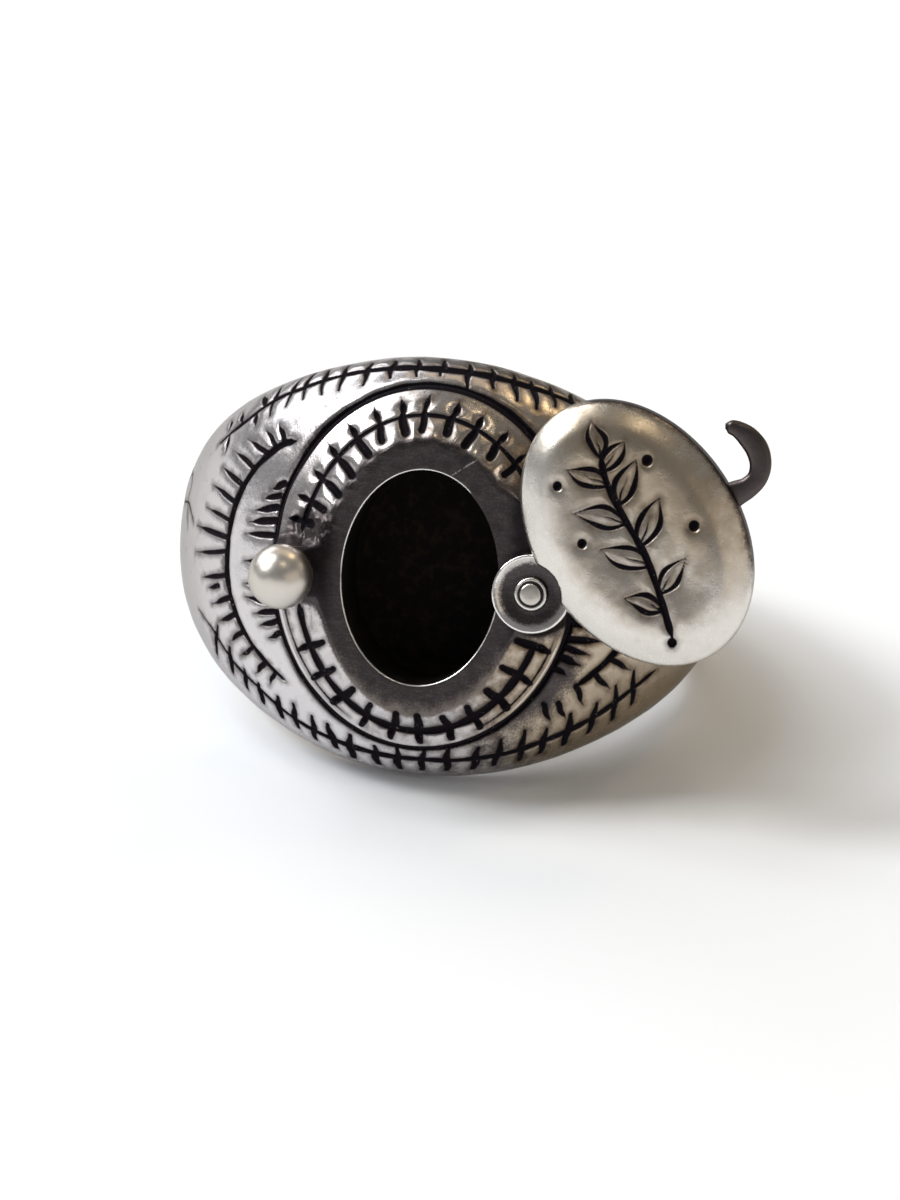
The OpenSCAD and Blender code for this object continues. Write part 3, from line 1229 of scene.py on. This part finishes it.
    def build(self, material: bpy.types.Material) -> bpy.types.Object:
        """Make the piece.

        Args:
            material: its finish.

        Returns:
            The object.
        """
        smooth = self.grid()
        inside, dip = self.engraver().measure(smooth)
        normal = grid_normals(smooth)
        centre = smooth.mean(1, keepdims=True)
        flip = np.sign((normal * (smooth - centre)).sum(-1, keepdims=True).mean())
        places = smooth + flip * normal * (Waves.BAND.at(smooth) - dip)[..., None]
        flat = turned(places, -FACE.turn)
        under = (1 - ease(FOOT.level(flat[..., 0], flat[..., 1]), 0.84, 0.95)) * (places[..., 2] > 0)
        places = self.held(places, under)
        points = np.concatenate([self.cap(places[0])[::-1], places, self.cap(places[-1])], 0)
        cut = np.concatenate([inside[:1], inside[:1], inside, inside[-1:], inside[-1:]], 0)
        # The dark value holds dark polish and painted shade beside the foot
        skin = Skin(cut=cut, dark=self.foot_polish_and_shade(points), tarnish_and_shade=tarnish_and_shade(points))
        name = "band_left" if self.side < 0 else "band_right"
        piece = grid_piece(name, from_ring(points), skin, "ring", material)
        piece.data.set_sharp_from_angle(angle=math.radians(self.sharp_from))
        return piece


@dataclass(frozen=True)
class Medallion:
    """The raised oval with its flat rim, its ears and the compartment inside it, in millimetres.

    The rim's height, floor, skirt and root are heights from the finger hole's middle; the turn is in degrees.
    """

    rim_w: float = 13.8
    turn: float = 3.4
    pocket_u: float = 3.3
    pocket_v: float = 4.5
    floor_w: float = 9.55
    skirt_w: float = 10.4
    root_w: float = 9.3
    rim_bevel: float = 0.09
    lip_h: float = 0.05
    columns: int = 600
    wall_rows: int = 18
    bevel_rows: int = 5
    rim_rows: int = 14
    level_rows: int = 48

    # Rows on the compartment's floor, as shares of it, and rows under the foot, as depths below it
    FLOOR_SHARES = (0.0, 0.35, 0.7, 0.93, 0.985)
    FOOT_FALLS = (0.06, 0.16, 0.4, 0.9)
    # The middle groove, and the fine line outside the lip, each from one angle to another
    GROOVE_ARCS = ((24, 168), (-166, -24))
    LIP_ARCS = ((-171, -118), (-66, -20))
    # The lip and its bright wire, a painted highlight, by their place between the rows of OVALS and their
    # spread; the wire's brightness, and the degrees over which it fades in
    LIP_AT, LIP_SPREAD = 4.60, 0.2
    WIRE_AT, WIRE_SPREAD, WIRE_SHINE, WIRE_FADE = 4.58, 0.13, 0.62, 14
    # How far the ears and the painted shade round them fade out
    EAR_FADE, SMUDGE_FADE = 0.42, 1.25
    # The black under the foot and outside the lip, as a depth inside a cut
    FOOT_CUT = 0.06
    # The burr beside the stud: its middle, its reach and how far it sinks
    BURR_U, BURR_V, BURR_REACH, BURR_SINK = -4.75, 1.8, 0.85, 0.05

    def ear_share(self, u: np.ndarray, v: np.ndarray, reach: float) -> np.ndarray:
        """Return how much of the flat ears' height places have.

        Args:
            u: places across the finger.
            v: places along the finger.
            reach: how far the ears fade out, in millimetres.

        Returns:
            1 on an ear and 0 off it.
        """
        share = np.zeros_like(u)
        for ear_u, ear_v, radius in EARS:
            share = np.maximum(share, ease(radius - np.hypot(u - ear_u, v - ear_v), -reach, 0.18))
        return share

    def rows(self, a: np.ndarray, wire: np.ndarray) -> tuple[Points, np.ndarray]:
        """Lay out the plain medallion from the compartment's middle over the rim to its root.

        Args:
            a: the columns' angles in radians.
            wire: how much of the lip shows at each.

        Returns:
            The grid, and the level, shine and pit of each row. The level is -2 in the compartment, -1 to 0 on
            the rim, the row of OVALS outside it, and more below the foot.
        """
        points: list[Points] = []
        marks: list[tuple[float, float, float]] = []

        def add(half_u: float, half_v: float, w: float, level: float, shine: float = 0.0, pit: float = 0.0,
                shift: float = 0.0, lean: float = 0.0, lip: float = 0.0) -> None:
            """Add an oval row.

            Args:
                half_u: its half width across the finger.
                half_v: its half width along the finger.
                w: its height.
                level: what it belongs to.
                shine: how bright its edge is.
                pit: how near-black it is, as in the compartment.
                shift: how far its middle is moved along the finger.
                lean: how much lower its upper end is.
                lip: how far the lip stands up.
            """
            height = w + lip * (0.15 + 0.85 * wire) - lean * np.sin(a)
            points.append(np.stack([half_u * np.cos(a), shift + half_v * np.sin(a), height], -1))
            marks.append((level, shine, pit))

        pu, pv, bevel, rim = self.pocket_u, self.pocket_v, self.rim_bevel, self.rim_w
        for f in self.FLOOR_SHARES:
            add(pu * f, pv * f, self.floor_w, -2, pit=1)
        for w in np.linspace(self.floor_w + 0.06, rim - bevel - 0.12, self.wall_rows):
            add(pu, pv, w, -2, pit=1)
        for b in np.linspace(0, 1, self.bevel_rows) * math.pi / 2:
            out = bevel * (1 - math.cos(b))
            add(pu + out, pv + out, rim - bevel * (1 - math.sin(b)), -1, shine=math.sin(b * 2) ** 0.5)
        edge_u, edge_v = OVALS[0][:2]
        for f in np.linspace(0.06, 0.94, self.rim_rows):
            add(pu + bevel + (edge_u - pu - bevel) * f, pv + bevel + (edge_v - pv - bevel) * f, rim, -1 + f)
        last = len(OVALS) - 1
        for x in np.linspace(0, last, self.level_rows):
            half_u, half_v, shift, drop, lean = curve(OVALS, np.array([x]))[0]
            lip = self.lip_h * math.exp(-(((x - self.LIP_AT) / self.LIP_SPREAD) ** 2))
            shine = self.WIRE_SHINE * math.exp(-(((x - self.WIRE_AT) / self.WIRE_SPREAD) ** 2))
            add(half_u, half_v, rim - drop, x, shine, 0, shift, lean, lip)
        half_u, half_v, shift, drop, lean = OVALS[last]
        for fall in self.FOOT_FALLS:
            add(half_u + 0.02, half_v + 0.02, rim - drop - fall, last + fall, 0, 0, shift, lean)
        under = self.root_w - 0.05
        for f, w in ((1.0, self.skirt_w), (0.74, self.root_w), (0.4, under), (0.0, under)):
            add(half_u * f, half_v * f, w, last + 2, 0, 0, shift * f)
        return np.stack(points), np.array(marks)[:, None, :]

    def engraver(self) -> Engraver:
        """Collect the middle groove's cuts and its ticks.

        Returns:
            The engraver.
        """
        cutter = Engraver(soft_r=0.34, soft_depth=0.13)
        for low, high in self.GROOVE_ARCS:
            angle = np.radians(np.linspace(low, high, 400))
            cutter.line(MIDDLE_GROOVE.at(angle), 0.13 - 0.045 * np.sin(angle), 0.14)
        for row in MEDALLION_TICKS:
            upper = row[1] > 0
            width, tips, waist = (Width.THICK, Tips.CLUB, 0.42) if upper else (Width.BROAD, Tips.FULL, 0.22)
            cutter.tick(spline((row[:2], row[2:]), 12), width, 0.17, tips, waist)
        return cutter

    def lip_line(self) -> Engraver:
        """Collect the fine dark line outside the lip, which has no depth.

        Returns:
            The engraver.
        """
        cutter = Engraver(soft_r=0.1, soft_depth=0.0)
        for low, high in self.LIP_ARCS:
            cutter.line(LIP_GROOVE.at(np.radians(np.linspace(low, high, 120))), Width.HAIR.value, 0.0, 0.8)
        return cutter

    def build(self, material: bpy.types.Material) -> bpy.types.Object:
        """Make the piece.

        Args:
            material: its finish.

        Returns:
            The object.
        """
        a = around(self.columns)
        turn = np.degrees(a)
        wire = sum(ease(half - np.abs(turn - middle), 0, self.WIRE_FADE) for middle, half in WIRE_ARCS)
        points, table = self.rows(a, wire)
        level, row_shine, row_pit = (table[..., k] for k in range(3))
        last = len(OVALS) - 1
        u, v = points[..., 0], points[..., 1]
        top = (level > -1.01) & (level <= last)
        ear = self.ear_share(u, v, self.EAR_FADE) * top
        ear_shade = self.ear_share(u, v, self.SMUDGE_FADE) * top

        # The black of the ticks stops at the ears and at the lip, and outside the lip all is black
        inside, dip = self.engraver().measure(points[..., :2])
        inside = inside - 0.8 * ear - 0.5 * ease(level, 4.30, 4.60)
        inside = np.maximum(inside, self.lip_line().measure(points[..., :2])[0])
        wall = self.FOOT_CUT - 0.24 * ease(-level, -4.86 + 0.14 * (1 - wire), -4.60 + 0.10 * (1 - wire))
        below = np.where(level > last, self.FOOT_CUT, FAR_OUTSIDE)
        inside = np.where(top, np.maximum(inside, wall), below)
        dip = dip * top * (1 - ear) * (1 - ease(level, 3.3, 4.15))

        # The ears lie level with the rim, and the burr's lumps rise over the slope
        from_burr = np.hypot((u - self.BURR_U) * 0.9, v - self.BURR_V) / self.BURR_REACH
        burr = np.exp(-(from_burr**4)) * top * (1 - ear)
        lumps = burr * (Waves.BURR.at(points) - self.BURR_SINK)
        flat = points[..., 2] + ear * (self.rim_w - points[..., 2])
        points[..., 2] = np.where(top, flat - dip + lumps + Waves.MEDALLION.at(points), points[..., 2])

        # Dark polish on the rim, the ears and the burr; painted shade round the ears, under the stud and the
        # lid, and at both sides beside the stud and the lug; worn on the lower rim
        dark = np.clip((1 - ease(level, -0.1, 1.15)) + np.maximum(ear, 0.85 * ear_shade) + burr, 0, 1)
        sides = 0.8 * ease(np.abs(u), 3.0, 4.4) * np.maximum(1 - ease(level, 0.3, 1.5), ear)
        dark = dark * (level <= last) * (1 + sides)
        shine = np.where(top & (level > 1), wire, 1.0) * row_shine * (1 - ear) * ease(-inside, 0.0, 0.06)
        scratch = spline(RIM_SCRATCH, 12)
        mark = np.min(np.linalg.norm(points[..., None, :2] - scratch[None, None], axis=-1), -1)
        shine = np.maximum(shine, 0.75 * ease(-mark, -0.055, -0.01) * (level < 0.6) * (level > -1))
        pit = np.broadcast_to(row_pit, u.shape)
        wear = ease(level, -0.9, 0.3) * ease(-v, 0.5, 5.5) * (level < 1)
        skin = Skin(inside, dark, shine, pit, wear, tarnish_and_shade(points))
        return grid_piece("medallion", from_face(points), skin, "ring", material)


@dataclass(frozen=True)
class Stud:
    """The catch stud, a post with a ball head, and the flat ear under it, in millimetres."""

    u: float = -5.55
    v: float = -0.05
    ball_r: float = 1.35
    ball_h: float = 2.3
    post_r: float = 0.38
    seat: float = 0.98
    neck_r: float = 1.08
    neck_reach: float = 0.95
    neck_h: float = 1.4
    ear_columns: int = 96
    ball_columns: int = 120
    ball_rows: int = 60

    # The ear's rows: share of its outline, depth under the rim, and how worn the edge is
    EAR_ROWS = (
        (0.0, 0.015, 0.0), (0.4, 0.015, 0.0), (0.85, 0.015, 0.2), (0.94, 0.03, 0.7), (0.985, 0.07, 1.0),
        (1.0, 0.14, 0.7), (1.0, 0.5, 0.3), (1.0, 1.0, 0.0)
    )

    def ear(self, material: bpy.types.Material) -> bpy.types.Object:
        """Make the flat ear under the catch stud.

        Args:
            material: its finish.

        Returns:
            The object.
        """
        a = around(self.ear_columns)
        shift = self.neck_reach / 2
        table = np.array([*self.EAR_ROWS, (1.0, self.neck_h, 0.0), (0.0, self.neck_h, 0.0)])
        rows = []
        for share, fall, _ in table:
            side = self.u + shift + shift * np.sign(np.cos(a)) * min(1.0, share * 1.5)
            r, w = self.neck_r * share, np.full_like(a, FACE.rim_w - fall)
            rows.append(np.stack([side + r * np.cos(a), self.v + r * np.sin(a), w], -1))
        points = np.stack(rows)
        wear = table[:, 2:] * (0.6 + Waves.EAR_WEAR.at(points))
        skin = Skin(dark=1.0 - 0.25 * wear, wear=wear)
        return grid_piece("stud_ear", from_face(points), skin, "ring", material)

    def ball(self, material: bpy.types.Material) -> bpy.types.Object:
        """Make the post with its ball head.

        Args:
            material: its finish.

        Returns:
            The object.
        """
        start = math.asin(self.post_r / self.ball_r) + 0.06
        b = np.linspace(start, math.pi, self.ball_rows)
        ball = [(self.ball_r * math.sin(x), self.ball_h - self.ball_r * math.cos(x)) for x in b]
        post = [(0.0, -self.seat), *((self.post_r, h) for h in (-self.seat, 0.2, ball[0][1] - 0.08))]
        points = lathe([*post, *ball], self.ball_columns) + np.array([self.u, self.v, FACE.rim_w])
        under = len(post)
        points[under:] += Waves.BALL.at(points[under:])[..., None] * np.array([1.0, 1.0, 0.6])
        dark = np.zeros(points.shape[:2])
        # The post under the ball is painted dark as the ball's shade
        dark[:under + 1] = 1.0
        return grid_piece("catch_ball", from_face(points), Skin(dark=dark), "ring", material)


@dataclass(frozen=True)
class Rivet:
    """The rivet that the lid turns on, with its stepped head, in millimetres."""

    shank_r: float = 0.45
    seat: float = 0.98
    clear: float = 0.05
    columns: int = 96

    # The head's rows: radius, and height over the lug's recess
    HEAD = (
        (0.62, 0.0), (0.70, 0.05), (0.70, 0.13), (0.66, 0.19), (0.60, 0.205), (0.52, 0.185),
        (0.485, 0.16), (0.47, 0.18), (0.465, 0.26), (0.44, 0.315), (0.39, 0.345), (0.28, 0.36),
        (0.14, 0.363), (0.0, 0.364)
    )
    # Radii between which the head's step is painted dark as a ring of shade, and its shoulder bright
    STEP, SHOULDER = (0.45, 0.55), (0.55, 0.69)

    def build(self, material: bpy.types.Material) -> bpy.types.Object:
        """Make the piece.

        Args:
            material: its finish.

        Returns:
            The object.
        """
        base = LID.gap + LID.recess_h + self.clear
        shank = [(0.0, -self.seat), (self.shank_r, -self.seat), (self.shank_r, base)]
        profile = [*shank, *((radius, base + height) for radius, height in self.HEAD)]
        points = lathe(profile, self.columns) + np.array([LID.rivet_u, LID.rivet_v, FACE.rim_w])
        r = np.array([row[0] for row in profile])[:, None]
        dark = np.where((r > self.STEP[0]) & (r < self.STEP[1]), 1.0, 0.0)
        shine = np.where((r > self.SHOULDER[0]) & (r < self.SHOULDER[1]), 0.6, 0.0)
        under = len(shank)
        dark[:under + 1], shine[:under + 1] = 1.0, 0.0
        points[under:, :, :2] += Waves.RIVET.at(points[under:])[..., None]
        skin = Skin(dark=dark, shine=shine)
        return grid_piece("rivet_head", from_face(points), skin, "ring", material)


@dataclass(frozen=True)
class Lid:
    """The lid: a domed oval cover with a plain leafy sprig on it, its lug round the rivet, and its hook.

    Sizes are in millimetres, from the rivet, and the angle is in degrees.
    """

    rivet_u: float = 4.75
    rivet_v: float = -0.3
    half_m: float = 4.3
    half_n: float = 5.95
    reach: float = 5.14
    off: float = -0.22
    angle: float = 36.0
    gap: float = 0.08
    plate_t: float = 0.62
    recess_r: float = 1.3
    recess_h: float = 0.42
    hole_r: float = 0.5
    middle_h: float = 1.64
    cover_columns: int = 440
    cover_step: float = 0.075
    lug_columns: int = 144
    hook_columns: int = 32
    hook_step: float = 0.06
    hook_square: float = 0.62

    # The lug's profile from its underside over its edge to the recess: radius, height
    LUG = (
        (1.58, 0.01), (1.65, 0.05), (1.67, 0.12), (1.67, 0.30), (1.67, 0.47), (1.66, 0.54),
        (1.635, 0.585), (1.60, 0.60), (1.55, 0.598), (1.48, 0.58), (1.40, 0.555), (1.30, 0.52),
        (1.18, 0.485), (1.05, 0.455), (0.92, 0.435)
    )
    # Rows on the cover's underside, as shares of it
    UNDER_SHARES = (0.0, 0.3, 0.6, 0.85)
    # The cover's middle, darkened with tarnish and painted shade: half its width and length
    WORN_M, WORN_N = 3.35, 4.9
    # The sprig's stem, from the cover's middle: across the lid, along the lid
    STEM = ((-1.00, -4.45), (-0.55, -2.90), (-0.10, -1.00), (0.02, 0.90), (0.22, 2.50), (0.62, 3.55))
    # Its leaves: place on the stem (0 to 1), turn from the stem in degrees, length and half width in mm
    LEAVES = (
        (0.16, 52, 1.70, 0.34), (0.24, -50, 1.85, 0.36), (0.36, 48, 2.15, 0.42), (0.45, -48, 2.20, 0.42),
        (0.57, 46, 2.15, 0.42), (0.66, -46, 2.05, 0.40), (0.78, 44, 1.80, 0.36), (0.87, -44, 1.55, 0.33),
        (0.99, 2, 1.50, 0.34)
    )
    # Punched dots: across and along the lid, from the cover's middle
    DOTS = ((-1.15, -4.62), (2.28, -1.02), (-2.05, 0.85), (2.12, 2.30), (-1.62, 3.40))
    DOT = ((0.0, 0.0), (0.03, 0.03))
    # Depths of the stem, a leaf's edge, its vein and a dot
    STEM_DEPTH, LEAF_DEPTH, VEIN_DEPTH, DOT_DEPTH = 0.14, 0.12, 0.05, 0.18

    def sprig(self) -> Engraver:
        """Collect the sprig's cuts.

        Returns:
            The engraver.
        """
        cutter = Engraver(soft_r=0.30, soft_depth=0.05)
        stem = spline(self.STEM)
        cutter.line(stem, Width.GROOVE.value, self.STEM_DEPTH, 0.5)
        run = np.gradient(stem, axis=0)
        s = np.linspace(0, 1, 24)
        for share, turn, length, half in self.LEAVES:
            k = int(share * (len(stem) - 1))
            heading = math.atan2(run[k, 1], run[k, 0]) + math.radians(turn)
            ahead = np.array([math.cos(heading), math.sin(heading)])
            beside = np.array([-ahead[1], ahead[0]])
            for side in (-1, 1):
                bulge = side * half * np.sin(math.pi * s**0.85) + 0.12 * math.copysign(1, turn) * s**2
                edge = stem[k] + s[:, None] * length * ahead + bulge[:, None] * beside
                cutter.tick(edge, Width.LINE, self.LEAF_DEPTH, Tips.LEAF)
            cutter.tick(stem[k] + s[:, None] * length * 0.6 * ahead, Width.HAIR, self.VEIN_DEPTH, Tips.WEDGE)
        for dot in self.DOTS:
            cutter.line(np.array(dot) + np.array(self.DOT), Width.BROAD.value, self.DOT_DEPTH, 0.0)
        return cutter

    def cover(self, material: bpy.types.Material) -> bpy.types.Object:
        """Make the domed oval with its broad sloping border.

        Args:
            material: its finish.

        Returns:
            The object.
        """
        profile = resample(spline(LID_OVALS, 20), self.cover_step)
        last_inset, last_h = profile[-1]
        rows = [(self.half_m * share, self.half_n * share, 0.0) for share in self.UNDER_SHARES]
        rows += [(self.half_m - inset, self.half_n - inset, h) for inset, h in profile]
        top_m, top_n = self.half_m - last_inset, self.half_n - last_inset
        count = int(top_n / self.cover_step)
        for share in (1 - k / count for k in range(1, count + 1)):
            rows.append((top_m * share, top_n * share, self.middle_h + (last_h - self.middle_h) * share**2))
        a = around(self.cover_columns)
        table = np.array(rows)[:, None, :]
        flat = np.stack([table[..., 0] * np.cos(a), table[..., 1] * np.sin(a)], -1)
        height = np.broadcast_to(table[..., 2], flat.shape[:2])
        points = np.concatenate([flat + np.array([self.reach, self.off]), height[..., None]], -1)

        top = ease(height, 1.2, 1.5)
        inside, dip = self.sprig().measure(flat)
        inside = np.where(top > 0.5, inside, FAR_OUTSIDE)
        points[..., 2] += ease(height, 0.5, 1.3) * Waves.COVER.at(points) - dip * top

        # The cover stops where the lug's recess starts
        from_rivet = np.hypot(points[..., 0], points[..., 1])
        bite = ease(points[..., 2], self.recess_h - 0.02, self.recess_h + 0.05) * (from_rivet < self.recess_r)
        push = 1 + bite * (self.recess_r / np.maximum(from_rivet, 0.05) - 1)
        points[..., :2] *= push[..., None]
        from_rivet = np.hypot(points[..., 0], points[..., 1])
        # Painted shade on the cover's wall beside the lug's recess
        near = 1 - ease(from_rivet, self.recess_r + 0.01, self.recess_r + 0.10)
        dark = near * ease(points[..., 2], self.recess_h - 0.1, self.recess_h)

        # Darker on the side wall away from the rivet; tarnish and painted shade in the middle and towards the
        # far upper end
        away = points[..., 0] - self.reach
        side = ease(1.33 - height, 0.0, 0.42) * ease(away + 0.25 * flat[..., 1], 0.5, 3.4)
        face = 1 - ease(np.hypot(flat[..., 0] / self.WORN_M, flat[..., 1] / self.WORN_N), 0.70, 1.16)
        lid_tarnish_and_shade = 0.10 + 0.48 * face + 0.62 * ease(away + 0.50 * flat[..., 1], -0.6, 3.8)
        skin = Skin(inside, np.maximum(dark, 0.75 * side), tarnish_and_shade=lid_tarnish_and_shade)
        return grid_piece("lid_cover", from_lid(points), skin, "lid", material)

    def lug(self, material: bpy.types.Material) -> bpy.types.Object:
        """Make the lug: a ring round the rivet with a raised bright edge and a dark recess.

        Args:
            material: its finish.

        Returns:
            The object.
        """
        floor_h = self.recess_h + 0.01
        profile = [(self.hole_r, 0.01), *self.LUG, (0.78, floor_h), (0.60, floor_h),
                   (self.hole_r, floor_h - 0.05), (self.hole_r, 0.2)]
        points = lathe(profile, self.lug_columns)
        r, h = (np.array([row[k] for row in profile])[:, None] for k in (0, 1))
        points[..., 2] += Waves.LUG.at(points) * (points[..., 2] > 0.3)
        dark = np.where(h > 0.15, 0.16 + 0.70 * ease(-r, -1.52, -1.12), 0.0) * (r < 1.62)
        # A bright edge all round, and a painted highlight on the slope inside it, strongest on one side
        outward = ease(-np.cos(np.linspace(0, 2 * math.pi, self.lug_columns)), -0.5, 0.9)[None]
        shine = np.where((r > 1.54) & (r < 1.665) & (h > 0.53), 0.9, 0.0)
        shine = np.maximum(shine, 0.80 * outward * ease(r, 1.24, 1.46) * (r < 1.665) * (h > 0.5))
        skin = Skin(dark=dark, shine=shine)
        return grid_piece("lid_lug", from_lid(points), skin, "lid", material, wrap_rows=True)

    def hook(self, material: bpy.types.Material) -> bpy.types.Object:
        """Make the hook that catches the stud's post.

        Args:
            material: its finish.

        Returns:
            The object.
        """
        path = resample(spline(HOOK, 20), self.hook_step)
        run = np.gradient(path[:, :2], axis=0)
        run /= np.linalg.norm(run, axis=1, keepdims=True)
        side = np.stack([-run[:, 1], run[:, 0]], -1)
        a = around(self.hook_columns)
        wide, tall = (signed_power(wave, self.hook_square) for wave in (np.cos(a), np.sin(a)))
        end = ease(np.arange(len(path))[::-1], -0.5, 5.0)
        half_w = path[:, 2] / 2 * (0.55 + 0.45 * end)
        half_t = self.plate_t / 2 * (0.5 + 0.5 * end)
        flat = path[:, None, :2] + side[:, None] * (half_w[:, None] * wide[None])[..., None]
        h = self.plate_t / 2 + half_t[:, None] * tall[None]
        points = np.concatenate([flat, h[..., None]], -1)
        points += Waves.HOOK.at(points)[..., None] * np.array([1.0, 1.0, 0.5])
        ends = [np.repeat(points[k].mean(0)[None, None], len(a), 1) for k in (0, -1)]
        points = np.concatenate([ends[0], points, ends[1]], 0)
        return grid_piece("lid_hook", from_lid(points), Skin(), "lid", material)


FACE, LID = Medallion(), Lid()

# The camera, the light and the floor


@dataclass
class PhotoView:
    """The photograph's view of the ring: angles in degrees, distance and sensor in millimetres."""

    azimuth: float = 6.5
    elevation: float = 7.0
    roll: float = 6.3
    distance: float = 350.0
    pixels_per_mm: float = 24.0
    photo_size: tuple[int, int] = (900, 1200)
    pocket_pixel: tuple[int, int] = (420, 578)
    sensor: float = 36.0

    def __post_init__(self) -> None:
        """Work out the view's axes and place."""
        a, e, r = (math.radians(x) for x in (self.azimuth, self.elevation, self.roll))
        back = np.array([math.sin(a) * math.cos(e), math.sin(e), math.cos(a) * math.cos(e)])
        right = np.array([math.cos(a), 0.0, -math.sin(a)])
        up = np.cross(back, right)
        right, up = right * math.cos(r) + up * math.sin(r), up * math.cos(r) - right * math.sin(r)
        dx = (self.pocket_pixel[0] - self.photo_size[0] / 2) / self.pixels_per_mm
        dy = (self.photo_size[1] / 2 - self.pocket_pixel[1]) / self.pixels_per_mm
        spot = np.array([0.0, 0.0, FACE.rim_w]) - right * dx - up * dy
        self.axes = [REST_TURN @ axis for axis in (right, up, back)]
        self.place = from_ring(spot + back * self.distance)

    def camera(self) -> bpy.types.Object:
        """Make the camera.

        Returns:
            The camera object.
        """
        data = bpy.data.cameras.new("photo_camera")
        data.sensor_fit, data.sensor_height, data.sensor_width = "VERTICAL", self.sensor, self.sensor
        data.lens = self.sensor * self.pixels_per_mm * self.distance / self.photo_size[1]
        data.clip_start, data.clip_end = 0.01, 20.0
        camera = bpy.data.objects.new("photo_camera", data)
        turn = Matrix(np.stack(self.axes, -1).tolist()).to_4x4()
        camera.matrix_world = Matrix.Translation(self.place.tolist()) @ turn
        bpy.context.collection.objects.link(camera)
        bpy.context.scene.camera = camera
        return camera


@dataclass(frozen=True)
class Lamp:
    """A soft box: its place round the ring (right, away, up), its size in metres, glow and colour."""

    name: str
    place: tuple[float, float, float]
    size: tuple[float, float]
    glow: float
    colour: Colour


LAMPS = (Lamp("key_lamp", (-2.15, -0.50, 1.95), (1.0, 1.0), 17.0, (1.0, 1.0, 1.0)),
         Lamp("window", (-1.93, 1.74, 1.50), (2.9, 1.3), 2.7, (0.95, 0.97, 1.0)),
         Lamp("upper_left", (-1.52, 0.22, 2.56), (1.4, 1.4), 3.9, (0.99, 0.99, 1.0)),
         Lamp("brown_ceiling", (0.25, 1.75, 2.25), (2.2, 1.7), 0.60, (1.0, 0.80, 0.57)),
         Lamp("front_paper", (-0.5, -2.80, 0.25), (4.0, 0.46), 0.90, (1.0, 0.98, 0.97)),
         Lamp("warm_side", (2.30, -1.55, 0.90), (3.2, 1.8), 0.46, (1.0, 0.85, 0.66)),
         Lamp("warm_wall", (2.35, 1.50, 0.95), (2.5, 1.7), 0.62, (1.0, 0.77, 0.50)),
         Lamp("warm_lamp", (1.15, 1.50, 2.40), (0.65, 0.65), 3.6, (1.0, 0.76, 0.42)),
         Lamp("warm_crown", (0.62, -0.90, 2.79), (0.50, 0.38), 6.2, (1.0, 0.83, 0.57)))
WORLD_COLOUR, WORLD_STRENGTH = (0.985, 0.99, 1.0), 0.23
# Half the floor's side in metres, its colour, roughness and gloss
FLOOR_HALF, FLOOR_COLOUR, FLOOR_ROUGH, FLOOR_GLOSS = 3.0, (0.885, 0.915, 0.945), 0.9, 0.1


def light() -> None:
    """Add the soft boxes and the even surrounding light."""
    for lamp in LAMPS:
        data = bpy.data.lights.new(lamp.name, "AREA")
        data.shape, data.size, data.size_y = "RECTANGLE", *lamp.size
        data.energy, data.color = lamp.glow * math.pi * lamp.size[0] * lamp.size[1], lamp.colour
        box = bpy.data.objects.new(lamp.name, data)
        place = Vector(lamp.place)
        box.matrix_world = Matrix.Translation(place) @ (-place).to_track_quat("-Z", "Y").to_matrix().to_4x4()
        bpy.context.collection.objects.link(box)
    world = bpy.data.worlds.new("studio")
    world.use_nodes = True
    sky = world.node_tree.nodes["Background"]
    sky.inputs["Color"].default_value = (*WORLD_COLOUR, 1.0)
    sky.inputs["Strength"].default_value = WORLD_STRENGTH
    bpy.context.scene.world = world
    bpy.context.scene.view_settings.view_transform = "Standard"


def floor() -> None:
    """Lay the plain pale floor."""
    g = Graph("floor_white")
    shader = g.node("ShaderNodeBsdfPrincipled", {}, {
        "Base Color": (*FLOOR_COLOUR, 1.0), "Roughness": FLOOR_ROUGH, "Specular IOR Level": FLOOR_GLOSS})
    g.node("ShaderNodeOutputMaterial", {}, {"Surface": shader.outputs[0]})
    bm = bmesh.new()
    bmesh.ops.create_grid(bm, x_segments=2, y_segments=2, size=FLOOR_HALF)
    mesh = bpy.data.meshes.new("floor")
    bm.to_mesh(mesh)
    bm.free()
    mesh.materials.append(g.material)
    ground = bpy.data.objects.new("floor", mesh)
    bpy.context.collection.objects.link(ground)


def main() -> None:
    """Build the ring's visible pieces, the floor, the light and the camera."""
    logging.basicConfig(level=logging.INFO, format="%(name)s: %(message)s")
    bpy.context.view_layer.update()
    body, face = metal(BODY), metal(FACE_FINISH)
    stud = Stud()
    ring_pieces = [BandHalf(-1).build(body), BandHalf(1).build(body), FACE.build(face), stud.ear(face)]
    for piece in ring_pieces:
        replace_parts(piece, "ring_body")
    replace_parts(stud.ball(metal(BALL)), "catch_stud")
    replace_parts(Rivet().build(metal(RIVET)), "pivot_rivet")
    for piece in (LID.cover(metal(COVER)), LID.lug(metal(LUG_FINISH)), LID.hook(metal(HOOK_FINISH))):
        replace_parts(piece, "lid")
    floor()
    PhotoView().camera()
    light()


if __name__ == "__main__":
    main()
